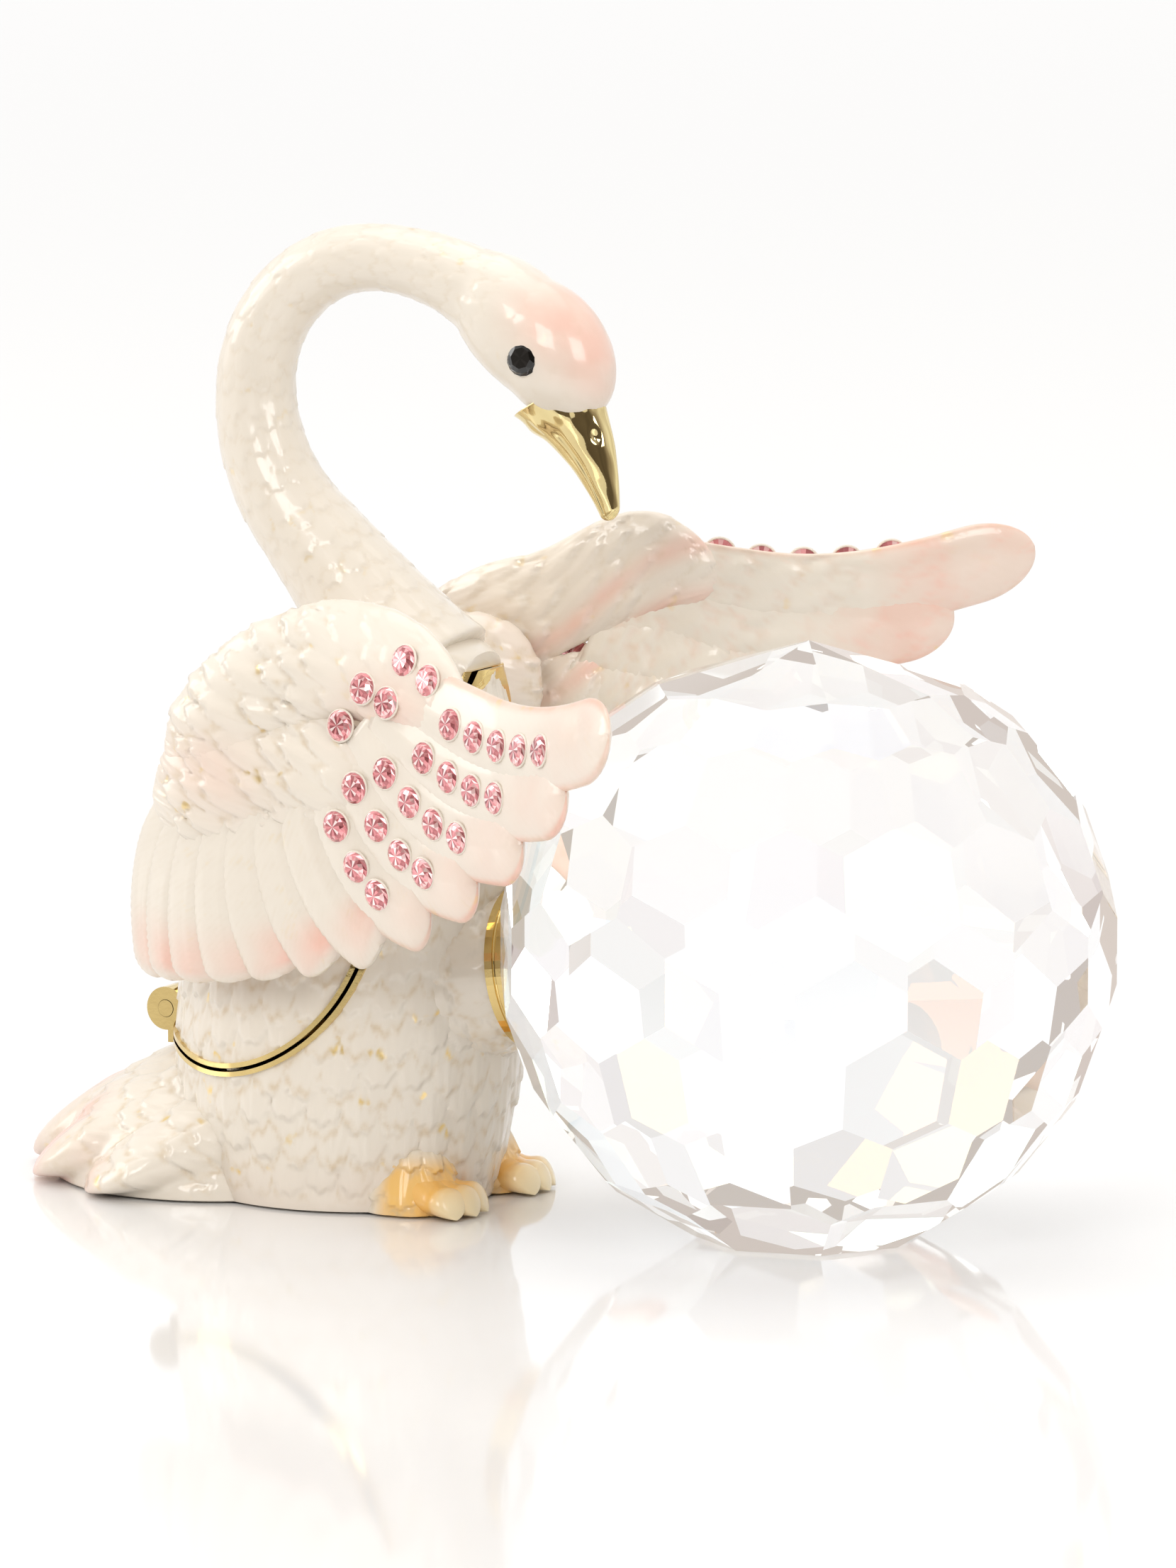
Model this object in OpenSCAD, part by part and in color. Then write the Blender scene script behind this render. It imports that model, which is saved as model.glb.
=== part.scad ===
// Trinket box shaped as a swan, held against a faceted crystal ball.
// Millimetres, +Z up. +X is the way the swan faces, +Y is its left side.
// The origin is on the standing surface, under the middle of the box.

/* [Ball] */
// diameter of the ball across its corners
ball_d = 50.2; // [36:0.2:64]
// facets round the ball in each full row
ball_facets = 16; // [12:2:20]
// how far the ball's pointed top falls short of a full radius
ball_crown_drop = 0.4; // [0:0.1:2]
// how much of the radius the flat bottom facet cuts away
ball_table_cut = 1.7; // [0.5:0.1:4]

/* [Box] */
// how far the box reaches behind the origin
body_back = 19; // [14:0.5:26]
// how far the breast reaches in front of the origin
body_front = 11.5; // [8:0.5:16]
// width of the box across the belly
body_width = 25; // [18:0.5:34]
// height of the breast, where the neck leaves the box
body_height = 44; // [34:0.5:56]
// wall thickness of the casting
wall = 1.5; // [1:0.1:2.5]
// height of the hollow, above which breast and neck root are solid
hollow_top = 34.5; // [26:0.5:38]
// thickness of the floor under the compartment
floor_t = 2; // [1.2:0.1:3]

/* [Opening] */
// radius of the round lower part of the opening, seen from the side
seam_r = 14.65; // [10:0.05:18]
// free gap between the two halves
seam_gap = 0.3; // [0.2:0.05:0.6]
// height of each gold rim along the opening
rim_h = 0.4; // [0.4:0.1:1.2]
// how far each rim stands out of the enamel
rim_out = 0.2; // [0:0.05:0.6]

/* [Hinge] */
// outer diameter of the knuckles
knuckle_d = 3.6; // [2:0.1:4]
// diameter of the hinge pin
pin_d = 1.4; // [0.7:0.05:1.8]
// radial clearance of the pin in its knuckles
pin_fit = 0.04; // [0.02:0.01:0.1]
// length of the whole barrel
barrel_l = 6.2; // [4:0.2:12]
// free gap beside the middle knuckle
knuckle_gap = 0.12; // [0.05:0.01:0.3]

/* [Cup] */
// diameter of the gold cup that holds the ball
cup_d = 13.4; // [8:0.2:20]
// thickness of the cup at its middle
cup_t = 0.8; // [0.5:0.1:4]
// thickness of the feathered collar behind the cup, in the middle
collar_t = 0.7; // [0.3:0.1:2]
// how far below level the cup looks, in degrees
cup_tilt = 8; // [0:0.5:20]
// glue gap between the cup and the ball's corners
glue_gap = 0.1; // [0.05:0.05:0.4]

/* [Neck and head] */
// half thickness of the neck at the top of its bend
neck_r = 2.9; // [2:0.1:5]
// half thickness of the neck where it leaves the box
neck_root_r = 6.6; // [5:0.1:8]
// bend radius of the back of the neck
neck_back_bend = 15.5; // [10:0.5:24]
// bend radius of the top of the neck
neck_top_bend = 11.3; // [8:0.1:16]
// length of the beak
beak_l = 9.5; // [6:0.5:14]
// diameter of an eye stone
eye_d = 2.5; // [1.5:0.1:4]

/* [Wings] */
// feathers in one wing
feathers = 12; // [9:1:14]
// how far in front of the origin the wing tip reaches
wing_reach = 41; // [30:0.5:50]
// distance of a wing from the middle plane beside the box
wing_side = 16.5; // [15:0.5:22]
// how much further out the wing tip is
wing_flare = 20.5; // [10:0.5:30]
// how much higher the left wing is raised than the right
left_raise = 6; // [0:0.5:10]
// half thickness of a feather
feather_t = 0.95; // [0.7:0.05:1.6]
// half width of a jewelled feather
feather_w = 3.3; // [2.5:0.1:4.5]

/* [Stones] */
// diameter of a stone
stone_d = 2.5; // [1.6:0.05:3.2]
// distance between stones along a feather
stone_pitch = 3.1; // [2.7:0.1:4.5]
// gap between a stone and its seat
seat_fit = 0.02; // [0.01:0.01:0.08]

/* [Magnets] */
// diameter of each closing magnet
magnet_d = 3; // [2:0.5:5]
// thickness of each closing magnet
magnet_t = 1.2; // [0.8:0.1:2]

/* [Hidden] */
cream = [0.93, 0.9, 0.84];
gold = [0.83, 0.66, 0.28];
pink = [0.85, 0.5, 0.52];

ball_r = ball_d / 2;
ball_z = ball_r - ball_table_cut;
cup_z = ball_z - ball_r * sin(cup_tilt);
breast_x = body_x(cup_z / body_height, 1);
ball_x = breast_x + collar_t + cup_t + glue_gap + ball_r * cos(cup_tilt);

// The opening: a round dip behind, then a straight line up to the clasp.
seam_c = [-body_back + 8.3, seam_r + 11.15];
clasp = [body_x(0.96, 1) - 1.1, body_height - 1.8];
seam_angle = atan2(clasp[1] - seam_c[1], clasp[0] - seam_c[0]);
seam_lean = acos(seam_r / norm(clasp - seam_c));
seam_n = [cos(seam_angle - seam_lean), sin(seam_angle - seam_lean)];
seam_t = [-seam_n[1], seam_n[0]];
magnet_at = seam_c + seam_r * seam_n + seam_t * 16.4;

hinge_x = -body_back - 0.8;
hinge_z = 14.1;

// A closed solid through rings of points, joined ring by ring.
module loft(rings) {
  n = len(rings[0]);
  for (i = [0:len(rings) - 2])
    hull()
      polyhedron(
        points = concat(rings[i], rings[i + 1]),
        faces = concat(
          [[for (j = [0:n - 1]) j], [for (j = [0:n - 1]) 2 * n - 1 - j]],
          [for (j = [0:n - 1]) each [[j, j + n, (j + 1) % n + n], [j, (j + 1) % n + n, (j + 1) % n]]]
        )
      );
}

function mix(a, b, t) = a + (b - a) * t;
function ease(t) = let (c = min(1, max(0, t))) c * c * (3 - 2 * c);
function sq(t) = t * t;

// Half profiles of the box against k, its height over body_height.
function body_x(k, side) =
  side > 0
    ? body_front * (k < 0.45 ? 1 - 0.3 * sq((0.45 - k) / 0.45) : 1 - 0.18 * sq((k - 0.45) / 0.55))
    : -body_back * (k < 0.25 ? 1 - 0.09 * sq((0.25 - k) / 0.25) : 1 - 0.53 * sq((k - 0.25) / 0.75));
function body_y(k) =
  body_width / 2 * (k < 0.3 ? 1 - 0.14 * sq((0.3 - k) / 0.3) : sqrt(1 - sq((k - 0.3) / 0.82)));

// One level of the box, an ellipse. It closes in a dome above body_height.
function body_ring(z, inset, n = 32) =
  let (
    k = z / body_height,
    kk = min(k, 1),
    close = k > 1 ? sqrt(max(0, 1 - sq((k - 1) / 0.07))) : 1,
    xf = body_x(kk, 1),
    xb = body_x(kk, -1),
    cx = (xf + xb) / 2,
    a = ((xf - xb) / 2) * close - inset,
    b = body_y(kk) * close - inset
  ) [for (j = [0:n - 1]) [cx + a * cos(360 * j / n), b * sin(360 * j / n), z]];

module body_solid(out = 0) {
  loft([
    for (i = [0:12]) body_ring(i * body_height / 12, -out),
    for (i = [1:3]) body_ring(body_height * (1 + 0.068 * i / 3), -out)
  ]);
}

module hollow() {
  loft([for (i = [0:8]) body_ring(mix(floor_t, hollow_top, i / 8), wall * (1 + 0.6 * sq(i / 8)))]);
}

// Everything behind and above the opening, grown by g.
module lid_side(g) {
  rotate([90, 0, 0])
    linear_extrude(80, center = true)
      hull() {
        translate(seam_c) circle(r = seam_r + g, $fn = 72);
        translate(clasp - 4 * seam_n) circle(r = 4 + g, $fn = 24);
        translate(clasp - 4 * seam_n + seam_t * 30) circle(r = 4 + g, $fn = 24);
        translate([-70, 32]) circle(r = 5 + g, $fn = 24);
        translate([-70, 90]) circle(r = 5 + g, $fn = 24);
      }
}

module rim_band() {
  difference() {
    body_solid(rim_out);
    loft([for (i = [0:12]) body_ring(mix(-1, body_height * 1.02, i / 12), wall)]);
    translate([-60, -40, -10]) cube([120, 80, 11]);
  }
}

module base_rim_solid() {
  intersection() {
    rim_band();
    difference() {
      lid_side(seam_gap / 2 + rim_h);
      lid_side(seam_gap / 2);
    }
  }
}

module lid_rim_solid() {
  intersection() {
    rim_band();
    difference() {
      lid_side(-seam_gap / 2);
      lid_side(-seam_gap / 2 - rim_h);
    }
  }
}

module along_y(y0, y1, d, fn = 48) {
  translate([hinge_x, y1, hinge_z]) rotate([90, 0, 0]) cylinder(h = y1 - y0, d = d, $fn = fn);
}

knuckle_y = barrel_l / 6;

// Lugs that carry the knuckles into the castings, grown by c.
module base_lugs(c = 0) {
  for (s = [-1, 1])
    translate([hinge_x + 0.2 - c, s > 0 ? knuckle_y + knuckle_gap - c : -barrel_l / 2 - c, hinge_z - 2.8 - c])
      cube([1.7 + 2 * c, barrel_l / 2 - knuckle_y - knuckle_gap + 2 * c, 1.9 + 2 * c]);
}

module lid_lug(c = 0) {
  translate([hinge_x + 0.2 - c, -knuckle_y - c, hinge_z + 0.9 - c])
    cube([1.7 + 2 * c, 2 * knuckle_y + 2 * c, 1.9 + 2 * c]);
}

module hinge_room() {
  along_y(-barrel_l / 2 - 0.3, barrel_l / 2 + 0.3, knuckle_d + 0.6);
}

// The rims stop short of the hinge.
module hinge_block() {
  translate([hinge_x - 3, -barrel_l / 2 - 0.4, hinge_z - 5]) cube([5.4, barrel_l + 0.8, 10]);
}

// One tail lobe, seen from above at angle a, its tip at distance l from the middle of the box.
module tail_lobe(a, l, w) {
  translate([-6, 0, 0])
    rotate([0, 0, a])
      loft([
        for (i = [0:7])
          let (
            t = i / 7,
            x = mix(7, l, t),
            h = mix(14.5, 4, t) * (1 - abs(a) / 160),
            hw = w * sqrt(max(0.01, 1 - pow(max(0, (t - 0.6) / 0.4), 2.4)))
          ) [
            for (j = [0:11])
              [-x, -hw * cos(30 * j + 5), 0.25 + a / 500 + h * (0.5 + 0.5 * sin(30 * j + 5)) * sqrt(max(0.1, 1 - pow(t, 6)))]
          ]
      ]);
}

// The cup's blank: a short round bar that looks at the ball's centre.
module at_cup() {
  translate([ball_x, 0, ball_z]) rotate([0, -90 - cup_tilt, 0]) children();
}

module cup_blank(c = 0) {
  at_cup() translate([0, 0, ball_r - 1.2]) cylinder(h = 1.2 + glue_gap + cup_t + c, d = cup_d + 2 * c, $fn = 64);
}

// Collar of breast feathers that backs the cup.
module collar() {
  at_cup()
    translate([0, 0, ball_r + glue_gap + cup_t])
      cylinder(h = collar_t + 3.8, d1 = cup_d - 0.3, d2 = cup_d + 2.4, $fn = 48);
}

module at_magnet() {
  translate([magnet_at[0], 0, magnet_at[1]])
    rotate([0, 90 - atan2(seam_n[1], seam_n[0]), 0])
      children();
}

module magnet(side, c = 0) {
  at_magnet()
    translate([0, 0, side > 0 ? seam_gap / 2 + rim_h - 0.35 : -seam_gap / 2 - rim_h + 0.35 - magnet_t])
      translate([0, 0, -c]) cylinder(h = magnet_t + 2 * c, d = magnet_d + 2 * c, $fn = 40);
}

// ---- base ----
module base_shell() {
  color(cream)
    difference() {
      union() {
        body_solid();
        collar();
        tail_lobe(0, 28, 4.9);
        // low skirt that joins the tail to the body
        intersection() {
          translate([-17, 0, 0]) scale([13, 12.3, 10.3]) sphere(r = 1, $fn = 36);
          translate([-40, -20, 0.2]) cube([60, 40, 20]);
        }
        for (s = [-1, 1]) {
          tail_lobe(s * 19, 25, 5);
          tail_lobe(s * 39, 20.5, 5.4);
          // feather cuff above the foot
          translate([4.5, s * 5.4, 0]) scale([1, 0.9, 1.05]) cylinder(h = 5.4, r1 = 4.6, r2 = 2.6, $fn = 28);
        }
      }
      hollow();
      lid_side(seam_gap / 2 + rim_h + 0.005);
      hinge_room();
      base_lugs(0.01);
      lid_lug(0.3);
      cup_blank(0.01);
      magnet(1, 0.01);
      for (s = [-1, 1]) foot(s);
    }
}

// Webbed foot: three toes side by side under a low instep.
module foot(s) {
  translate([4.6, s * 5.6, 0])
    rotate([0, 0, s * 6])
      for (k = [-1, 0, 1])
        rotate([0, 0, k * 20])
          loft([
            for (i = [0:5])
              let (
                t = sqrt(i / 5),
                r = mix(1.75, 1.5, t) * sqrt(max(0.02, 1 - pow(max(0, (t - 0.7) / 0.3), 2))),
                h = mix(3.4, 2.3, t) * sqrt(max(0.05, 1 - pow(max(0, (t - 0.7) / 0.3), 2)))
              ) [for (j = [0:9]) [0.5 + 6.1 * t, r * 1.15 * cos(36 * j + 7), h * (0.5 + 0.5 * sin(36 * j + 7)) + 0.02 * (k + 1)]]
          ]);
}

module right_foot() {
  color([0.9, 0.75, 0.4]) foot(-1);
}

module left_foot() {
  color([0.9, 0.75, 0.4]) foot(1);
}

module base_rim() {
  color(gold)
    difference() {
      base_rim_solid();
      hinge_block();
      magnet(1, 0.02);
    }
}

module hinge_base_leaf() {
  color(gold)
    difference() {
      union() {
        for (s = [-1, 1])
          along_y(s > 0 ? knuckle_y + knuckle_gap : -barrel_l / 2,
                  s > 0 ? barrel_l / 2 : -knuckle_y - knuckle_gap, knuckle_d);
        base_lugs();
      }
      along_y(-barrel_l, barrel_l, pin_d + 2 * pin_fit);
    }
}

module hinge_pin() {
  color(gold) along_y(-barrel_l / 2 - 0.05, barrel_l / 2 + 0.05, pin_d);
}

module ball_cup() {
  color(gold)
    difference() {
      cup_blank();
      translate([ball_x, 0, ball_z]) sphere(r = ball_r + glue_gap, $fn = 96);
      at_cup()
        translate([0, 0, ball_r + 0.05])
          rotate_extrude($fn = 64) translate([cup_d / 2, 0]) circle(r = 0.16, $fn = 16);
    }
}

// Planes that touch a sphere just inside the ball's corners, row by row.
facet_rows = [[34, 0], [52, 0.5], [71, 0], [90, 0.5], [109, 0], [128, 0.5]];
module half_space(polar, turn, d) {
  rotate([0, polar, turn]) translate([-40, -40, d]) cube([80, 80, 30]);
}

module crystal_ball() {
  step = 360 / ball_facets;
  flat = ball_r * 0.966;
  apex = ball_r - ball_crown_drop;
  color([0.9, 0.93, 0.97, 0.4])
    translate([ball_x, 0, ball_z])
      hull() difference() {
        cylinder(r = ball_r + 2, h = 2 * ball_r + 2, center = true, $fn = 8);
        for (r = facet_rows) for (i = [0:ball_facets - 1]) half_space(r[0], (i + r[1]) * step, flat);
        for (i = [0:ball_facets / 2 - 1]) {
          half_space(17, (2 * i + 0.5) * step, apex * cos(17));
          half_space(147, (2 * i + 0.5) * step, flat);
        }
        translate([-40, -40, -ball_r - 20]) cube([80, 80, 20 + ball_table_cut]);
      }
}

module base_magnet() {
  color([0.6, 0.6, 0.62]) magnet(1);
}

// ---- lid ----
module lid_shell() {
  color(cream)
    difference() {
      intersection() {
        body_solid();
        lid_side(-seam_gap / 2 - rim_h - 0.005);
      }
      hollow();
      hinge_room();
      base_lugs(0.3);
      lid_lug(0.01);
      magnet(-1, 0.01);
    }
}

module lid_rim() {
  color(gold)
    difference() {
      lid_rim_solid();
      hinge_block();
      magnet(-1, 0.02);
    }
}

module hinge_lid_leaf() {
  color(gold)
    difference() {
      union() {
        along_y(-knuckle_y, knuckle_y, knuckle_d);
        lid_lug();
      }
      along_y(-barrel_l, barrel_l, pin_d + 2 * pin_fit);
    }
}

module lid_magnet() {
  color([0.6, 0.6, 0.62]) magnet(-1);
}

// The neck's middle line: a straight root, a long bend, a tight bend, then the head's bend.
neck_start = [3.05, body_height - 1.4];
neck_dir = 133;
neck_run = 17;
bend_1 = neck_dir - 90;
head_bend = 20.6;
head_turn = 40;
function aim(a) = [cos(a), sin(a)];
function arc_end(p, a, r, turn) = p + r * aim(a - 90) - r * aim(a - 90 - turn);
neck_p1 = neck_start + neck_run * aim(neck_dir);
neck_p2 = arc_end(neck_p1, neck_dir, neck_back_bend, bend_1);
neck_p3 = arc_end(neck_p2, 90, neck_top_bend, 90);

// [x, z, direction, half thickness] at u from 0 to 4
function neck_at(u) =
  u < 1 ? [each neck_start + u * neck_run * aim(neck_dir), neck_dir, mix(neck_root_r, neck_r * 1.38, pow(u, 0.7))]
  : u < 2 ? [each arc_end(neck_p1, neck_dir, neck_back_bend, (u - 1) * bend_1), neck_dir - (u - 1) * bend_1,
             neck_r * mix(1.38, 1.14, u - 1)]
  : u < 3 ? [each arc_end(neck_p2, 90, neck_top_bend, (u - 2) * 90), 90 - (u - 2) * 90,
             neck_r * mix(1.14, 0.96, u - 2)]
  : [each arc_end(neck_p3, 0, head_bend, (u - 3) * head_turn), -(u - 3) * head_turn,
     neck_r * mix(0.96, 1.45, sq(u - 3))];

function neck_ring(u, n = 16) =
  let (p = neck_at(u)) [
    for (j = [0:n - 1])
      let (c = p[3] * cos(360 * j / n), s = p[3] * sin(360 * j / n))
        [p[0] - s * sin(p[2]), c, p[1] + s * cos(p[2])]
  ];

head_c = neck_p3 + [16.2, -6.8];
module head_solid() {
  translate([head_c[0], 0, head_c[1]]) rotate([0, 52, 0]) scale([6.6, 4.1, 4.8]) sphere(r = 1, $fn = 22);
}

module beak_solid(c = 0) {
  translate([head_c[0] + 1, 0, head_c[1] - 5])
    rotate([0, 62, 0])
      loft([
        for (i = [0:8])
          let (t = i / 8, r = mix(3.9, 0.75, pow(t, 0.85)) * (i == 8 ? 0.4 : 1) + c) [
            for (j = [0:15])
              [mix(-1.5, beak_l, t), r * 0.75 * cos(22.5 * j), r * sin(22.5 * j) + 0.8 * sin(180 * t)]
          ]
      ]);
}

module at_eye(s) {
  translate([head_c[0] - 0.6, s * 3.85, head_c[1] - 0.3]) rotate([-s * 83, 0, 0]) children();
}

// A cut stone: cone below, girdle, sloping crown, flat table.
module stone(d) {
  rotate_extrude($fn = 32)
    polygon([[0, -0.42 * d], [d / 2, -0.04 * d], [d / 2, 0.02 * d], [0.3 * d, 0.17 * d], [0, 0.17 * d]]);
}

// The seat that a stone sits in, open at the top, with gap c all round.
module seat(d, c) {
  r = (d / 2 + c) / cos(15);
  rotate_extrude($fn = 12) polygon([[0, -0.42 * d - 2 * c], [r, -0.04 * d - c], [r, 0.6 * d], [0, 0.6 * d]]);
}

module eye_stone(s) {
  at_eye(s) stone(eye_d);
}

module neck_and_head() {
  color(cream)
    difference() {
      union() {
        loft([for (i = [0:26]) neck_ring(i / 6.5)]);
        head_solid();
      }
      body_solid();
      beak_solid(0);
      lid_keep_clear();
      for (s = [-1, 1]) at_eye(s) seat(eye_d, seat_fit);
    }
}

// Room in front of the neck's foot for the breast of the base.
module lid_keep_clear() {
  difference() {
    translate([0, -10, 20]) cube([30, 20, body_height * 1.1 - 20]);
    lid_side(-seam_gap / 2);
  }
}

module beak() {
  color(gold) beak_solid(0);
}

module right_eye() {
  color([0.05, 0.05, 0.06]) eye_stone(-1);
}

module left_eye() {
  color([0.05, 0.05, 0.06]) eye_stone(1);
}

// ---- wings ----
// A wing is a curved sheet beside the box. s runs forwards, z upwards and w outwards.
function sheet_y(s, z) =
  wing_side
  + (s > -3 ? wing_flare * pow((s + 3) / (wing_reach + 3), 2.2) : -3.2 * sq((-3 - s) / 12))
  + 1.8 * (1 - min(2.2, sq((z - 33) / 15)));
function sheet_slope(s) =
  s > -3 ? wing_flare * 2.2 / (wing_reach + 3) * pow((s + 3) / (wing_reach + 3), 1.2) : 6.4 * (-3 - s) / 144;
function lift(s, left) = left ? left_raise * ease((s - 3) / 13) : 0;
function sheet(s, z, w, left) =
  let (m = sheet_slope(s), n = sqrt(1 + m * m))
    [s - w * m / n, -sheet_y(s, z) - w / n, z + lift(s, left)];

// Middle line of feather i: from its root to its tip, sagging between them.
function feather_k(i) = (feathers - i) / (feathers - 1);
function feather_tip(i, left) =
  let (k = feather_k(i), e = left ? 1.1 : 1.35)
    [mix(-14, wing_reach - 0.5, pow(k, e)), mix(18.8, 45.6, pow(k, left ? 2.3 : 2.6))];
function feather_root(i) = let (k = feather_k(i)) [mix(-10.5, 12, k), mix(34, 45, k * k)];
function feather_mid(i, t, left) =
  let (a = feather_root(i), b = feather_tip(i, left), k = feather_k(i))
    mix(a, b, t) + [-1.5 * sin(180 * t) * (1 - k), -mix(0, 3.2, min(1, 1.6 * k)) * sin(180 * t)];
function feather_half(i, t) =
  mix(2.7, feather_w, min(1, 1.5 * feather_k(i))) * mix(0.85, 1, ease(3 * t))
  * sqrt(max(0.003, 1 - sq(max(0, (t - 0.86) / 0.14))));
function feather_out(i, t) = mix(-0.5, 0.55, feather_k(i)) + 0.35 * t;

function feather_ring(i, t, left) =
  let (
    p = feather_mid(i, t, left),
    q = feather_mid(i, t + 0.01, left) - feather_mid(i, t - 0.01, left),
    m = sheet_slope(p[0]),
    len_s = q[0] * sqrt(1 + m * m),
    l = norm([len_s, q[1]]),
    h = feather_half(i, t),
    d = feather_t * sqrt(max(0.02, 1 - sq(max(0, (t - 0.86) / 0.14))))
  ) [
    for (j = [0:7])
      let (a = h * cos(45 * j))
        sheet(p[0] - a * q[1] / l / sqrt(1 + m * m), p[1] + a * len_s / l, feather_out(i, t) + d * sin(45 * j), left)
  ];

module feather(i, left) {
  ts = [0, 0.2, 0.4, 0.6, 0.75, 0.88, 0.95, 0.98, 1];
  loft([for (t = ts) feather_ring(i, t, left)]);
}

// The arm: a thick padded ridge above the feather roots, and a lower pad behind it.
function arm_ring(u, a, b, bow, h, d, left) =
  let (
    t = (1 - cos(180 * u)) / 2,
    p = mix(a, b, t) + [0, bow * sin(180 * t)],
    q = b - a + [0, bow * PI * cos(180 * t)],
    l = norm(q),
    f = sqrt(max(0.004, 1 - sq(2 * t - 1) * sq(2 * t - 1)))
  ) [
    for (j = [0:11])
      let (c = h * f * cos(30 * j))
        sheet(p[0] - c * q[1] / l, p[1] + c * q[0] / l, 0.2 + d * f * sin(30 * j), left)
  ];

module arm(a, b, bow, h, d, left) {
  loft([for (i = [0:10]) arm_ring(i / 10, a, b, bow, h, d, left)]);
}

// Shoulder: joins the sheet to the side of the lid.
module shoulder(left) {
  hull() {
    translate([-8, -11, 35]) scale([4, 4, 6]) sphere(r = 1, $fn = 24);
    translate([-4, -15, 36]) scale([5, 2.5, 6]) sphere(r = 1, $fn = 24);
    translate([-1, -6, 42]) scale([4, 3, 2.5]) sphere(r = 1, $fn = 24);
    translate([4, -13.5, 42]) scale([5, 3.5, 4]) sphere(r = 1, $fn = 24);
  }
}

module wing_solid(left) {
  difference() {
    union() {
      for (i = [1:feathers]) feather(i, left);
      arm([-11, 37], [18.5, 42.5], 6.6, 4.6, 1.9, left);
      arm([-12.5, 33], [10, 37], 2.4, 4.6, 1.5, left);
      shoulder(left);
    }
    body_solid();
    lid_keep_clear();
    for (i = [0:5]) for (p = stone_places(i, left)) on_sheet(p, left) seat(stone_d, seat_fit);
  }
}

// Stones of feather i, or of the coverts when i is 0: [s, z, w] of each on the sheet.
function arm_stones() = [[13, 47.3, 1.8], [15.6, 46, 1.55], [9, 44.8, 2.05], [11.6, 43.9, 1.95], [6.5, 41.6, 1.45]];
first_stone = [0, 0.24, 0.25, 0.19, 0.16, 0.24];
function stone_count(i) = i == 1 ? 5 : i == 5 ? 3 : 4;
function stone_places(i, left) =
  i == 0
    ? arm_stones()
    : let (l = norm(feather_tip(i, left) - feather_root(i)))
        [for (k = [0:stone_count(i) - 1])
          let (t = first_stone[i] + k * stone_pitch / l, p = feather_mid(i, t, left))
            // on the left wing, the first row sits along the top edge
            left && i == 1 ? [p[0], p[1] + 2.5, feather_out(i, t) + 0.65 * feather_t + 0.1]
                           : [p[0], p[1], feather_out(i, t) + feather_t + 0.1]];

module on_sheet(p, left) {
  o = sheet(p[0], p[1], p[2], left);
  translate(o) rotate([0, 0, -atan(sheet_slope(p[0]))]) rotate([90 - 1.2 * (p[1] - 36), 0, 0]) children();
}

module stones(i, left) {
  for (p = stone_places(i, left)) on_sheet(p, left) stone(stone_d);
}

module one_side(left) {
  if (left) mirror([0, 1, 0]) children();
  else children();
}

module right_wing() {
  color(cream) wing_solid(false);
}

module left_wing() {
  color(cream) one_side(true) wing_solid(true);
}

module jewels(i, left) {
  color(pink) one_side(left) stones(i, left);
}

module right_covert_stones() {
  jewels(0, false);
}

module right_feather_1_stones() {
  jewels(1, false);
}

module right_feather_2_stones() {
  jewels(2, false);
}

module right_feather_3_stones() {
  jewels(3, false);
}

module right_feather_4_stones() {
  jewels(4, false);
}

module right_feather_5_stones() {
  jewels(5, false);
}

module left_covert_stones() {
  jewels(0, true);
}

module left_feather_1_stones() {
  jewels(1, true);
}

module left_feather_2_stones() {
  jewels(2, true);
}

module left_feather_3_stones() {
  jewels(3, true);
}

module left_feather_4_stones() {
  jewels(4, true);
}

module left_feather_5_stones() {
  jewels(5, true);
}

base_shell();
right_foot();
left_foot();
base_rim();
hinge_base_leaf();
hinge_pin();
ball_cup();
crystal_ball();
base_magnet();
lid_shell();
lid_rim();
hinge_lid_leaf();
lid_magnet();
neck_and_head();
beak();
right_eye();
left_eye();
right_wing();
left_wing();
right_covert_stones();
right_feather_1_stones();
right_feather_2_stones();
right_feather_3_stones();
right_feather_4_stones();
right_feather_5_stones();
left_covert_stones();
left_feather_1_stones();
left_feather_2_stones();
left_feather_3_stones();
left_feather_4_stones();
left_feather_5_stones();
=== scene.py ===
import bmesh
import bpy
import numpy as np
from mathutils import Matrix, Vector


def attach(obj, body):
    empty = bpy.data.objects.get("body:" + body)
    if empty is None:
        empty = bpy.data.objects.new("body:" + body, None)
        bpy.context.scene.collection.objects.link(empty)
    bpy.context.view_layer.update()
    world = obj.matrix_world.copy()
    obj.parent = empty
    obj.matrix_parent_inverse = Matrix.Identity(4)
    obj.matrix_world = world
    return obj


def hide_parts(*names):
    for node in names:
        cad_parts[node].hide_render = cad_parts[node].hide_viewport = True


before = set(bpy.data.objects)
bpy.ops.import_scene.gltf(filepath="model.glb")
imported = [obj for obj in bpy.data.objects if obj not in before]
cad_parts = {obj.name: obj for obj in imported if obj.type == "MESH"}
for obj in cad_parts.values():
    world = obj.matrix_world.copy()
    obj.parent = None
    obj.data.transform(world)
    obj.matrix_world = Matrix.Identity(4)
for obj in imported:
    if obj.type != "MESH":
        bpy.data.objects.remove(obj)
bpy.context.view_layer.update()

# ---- Room ----
# A white glossy table top that runs back into a white room, soft light from above and
# from the left, and a long lens on the right side of the swan, a little above it.

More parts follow.
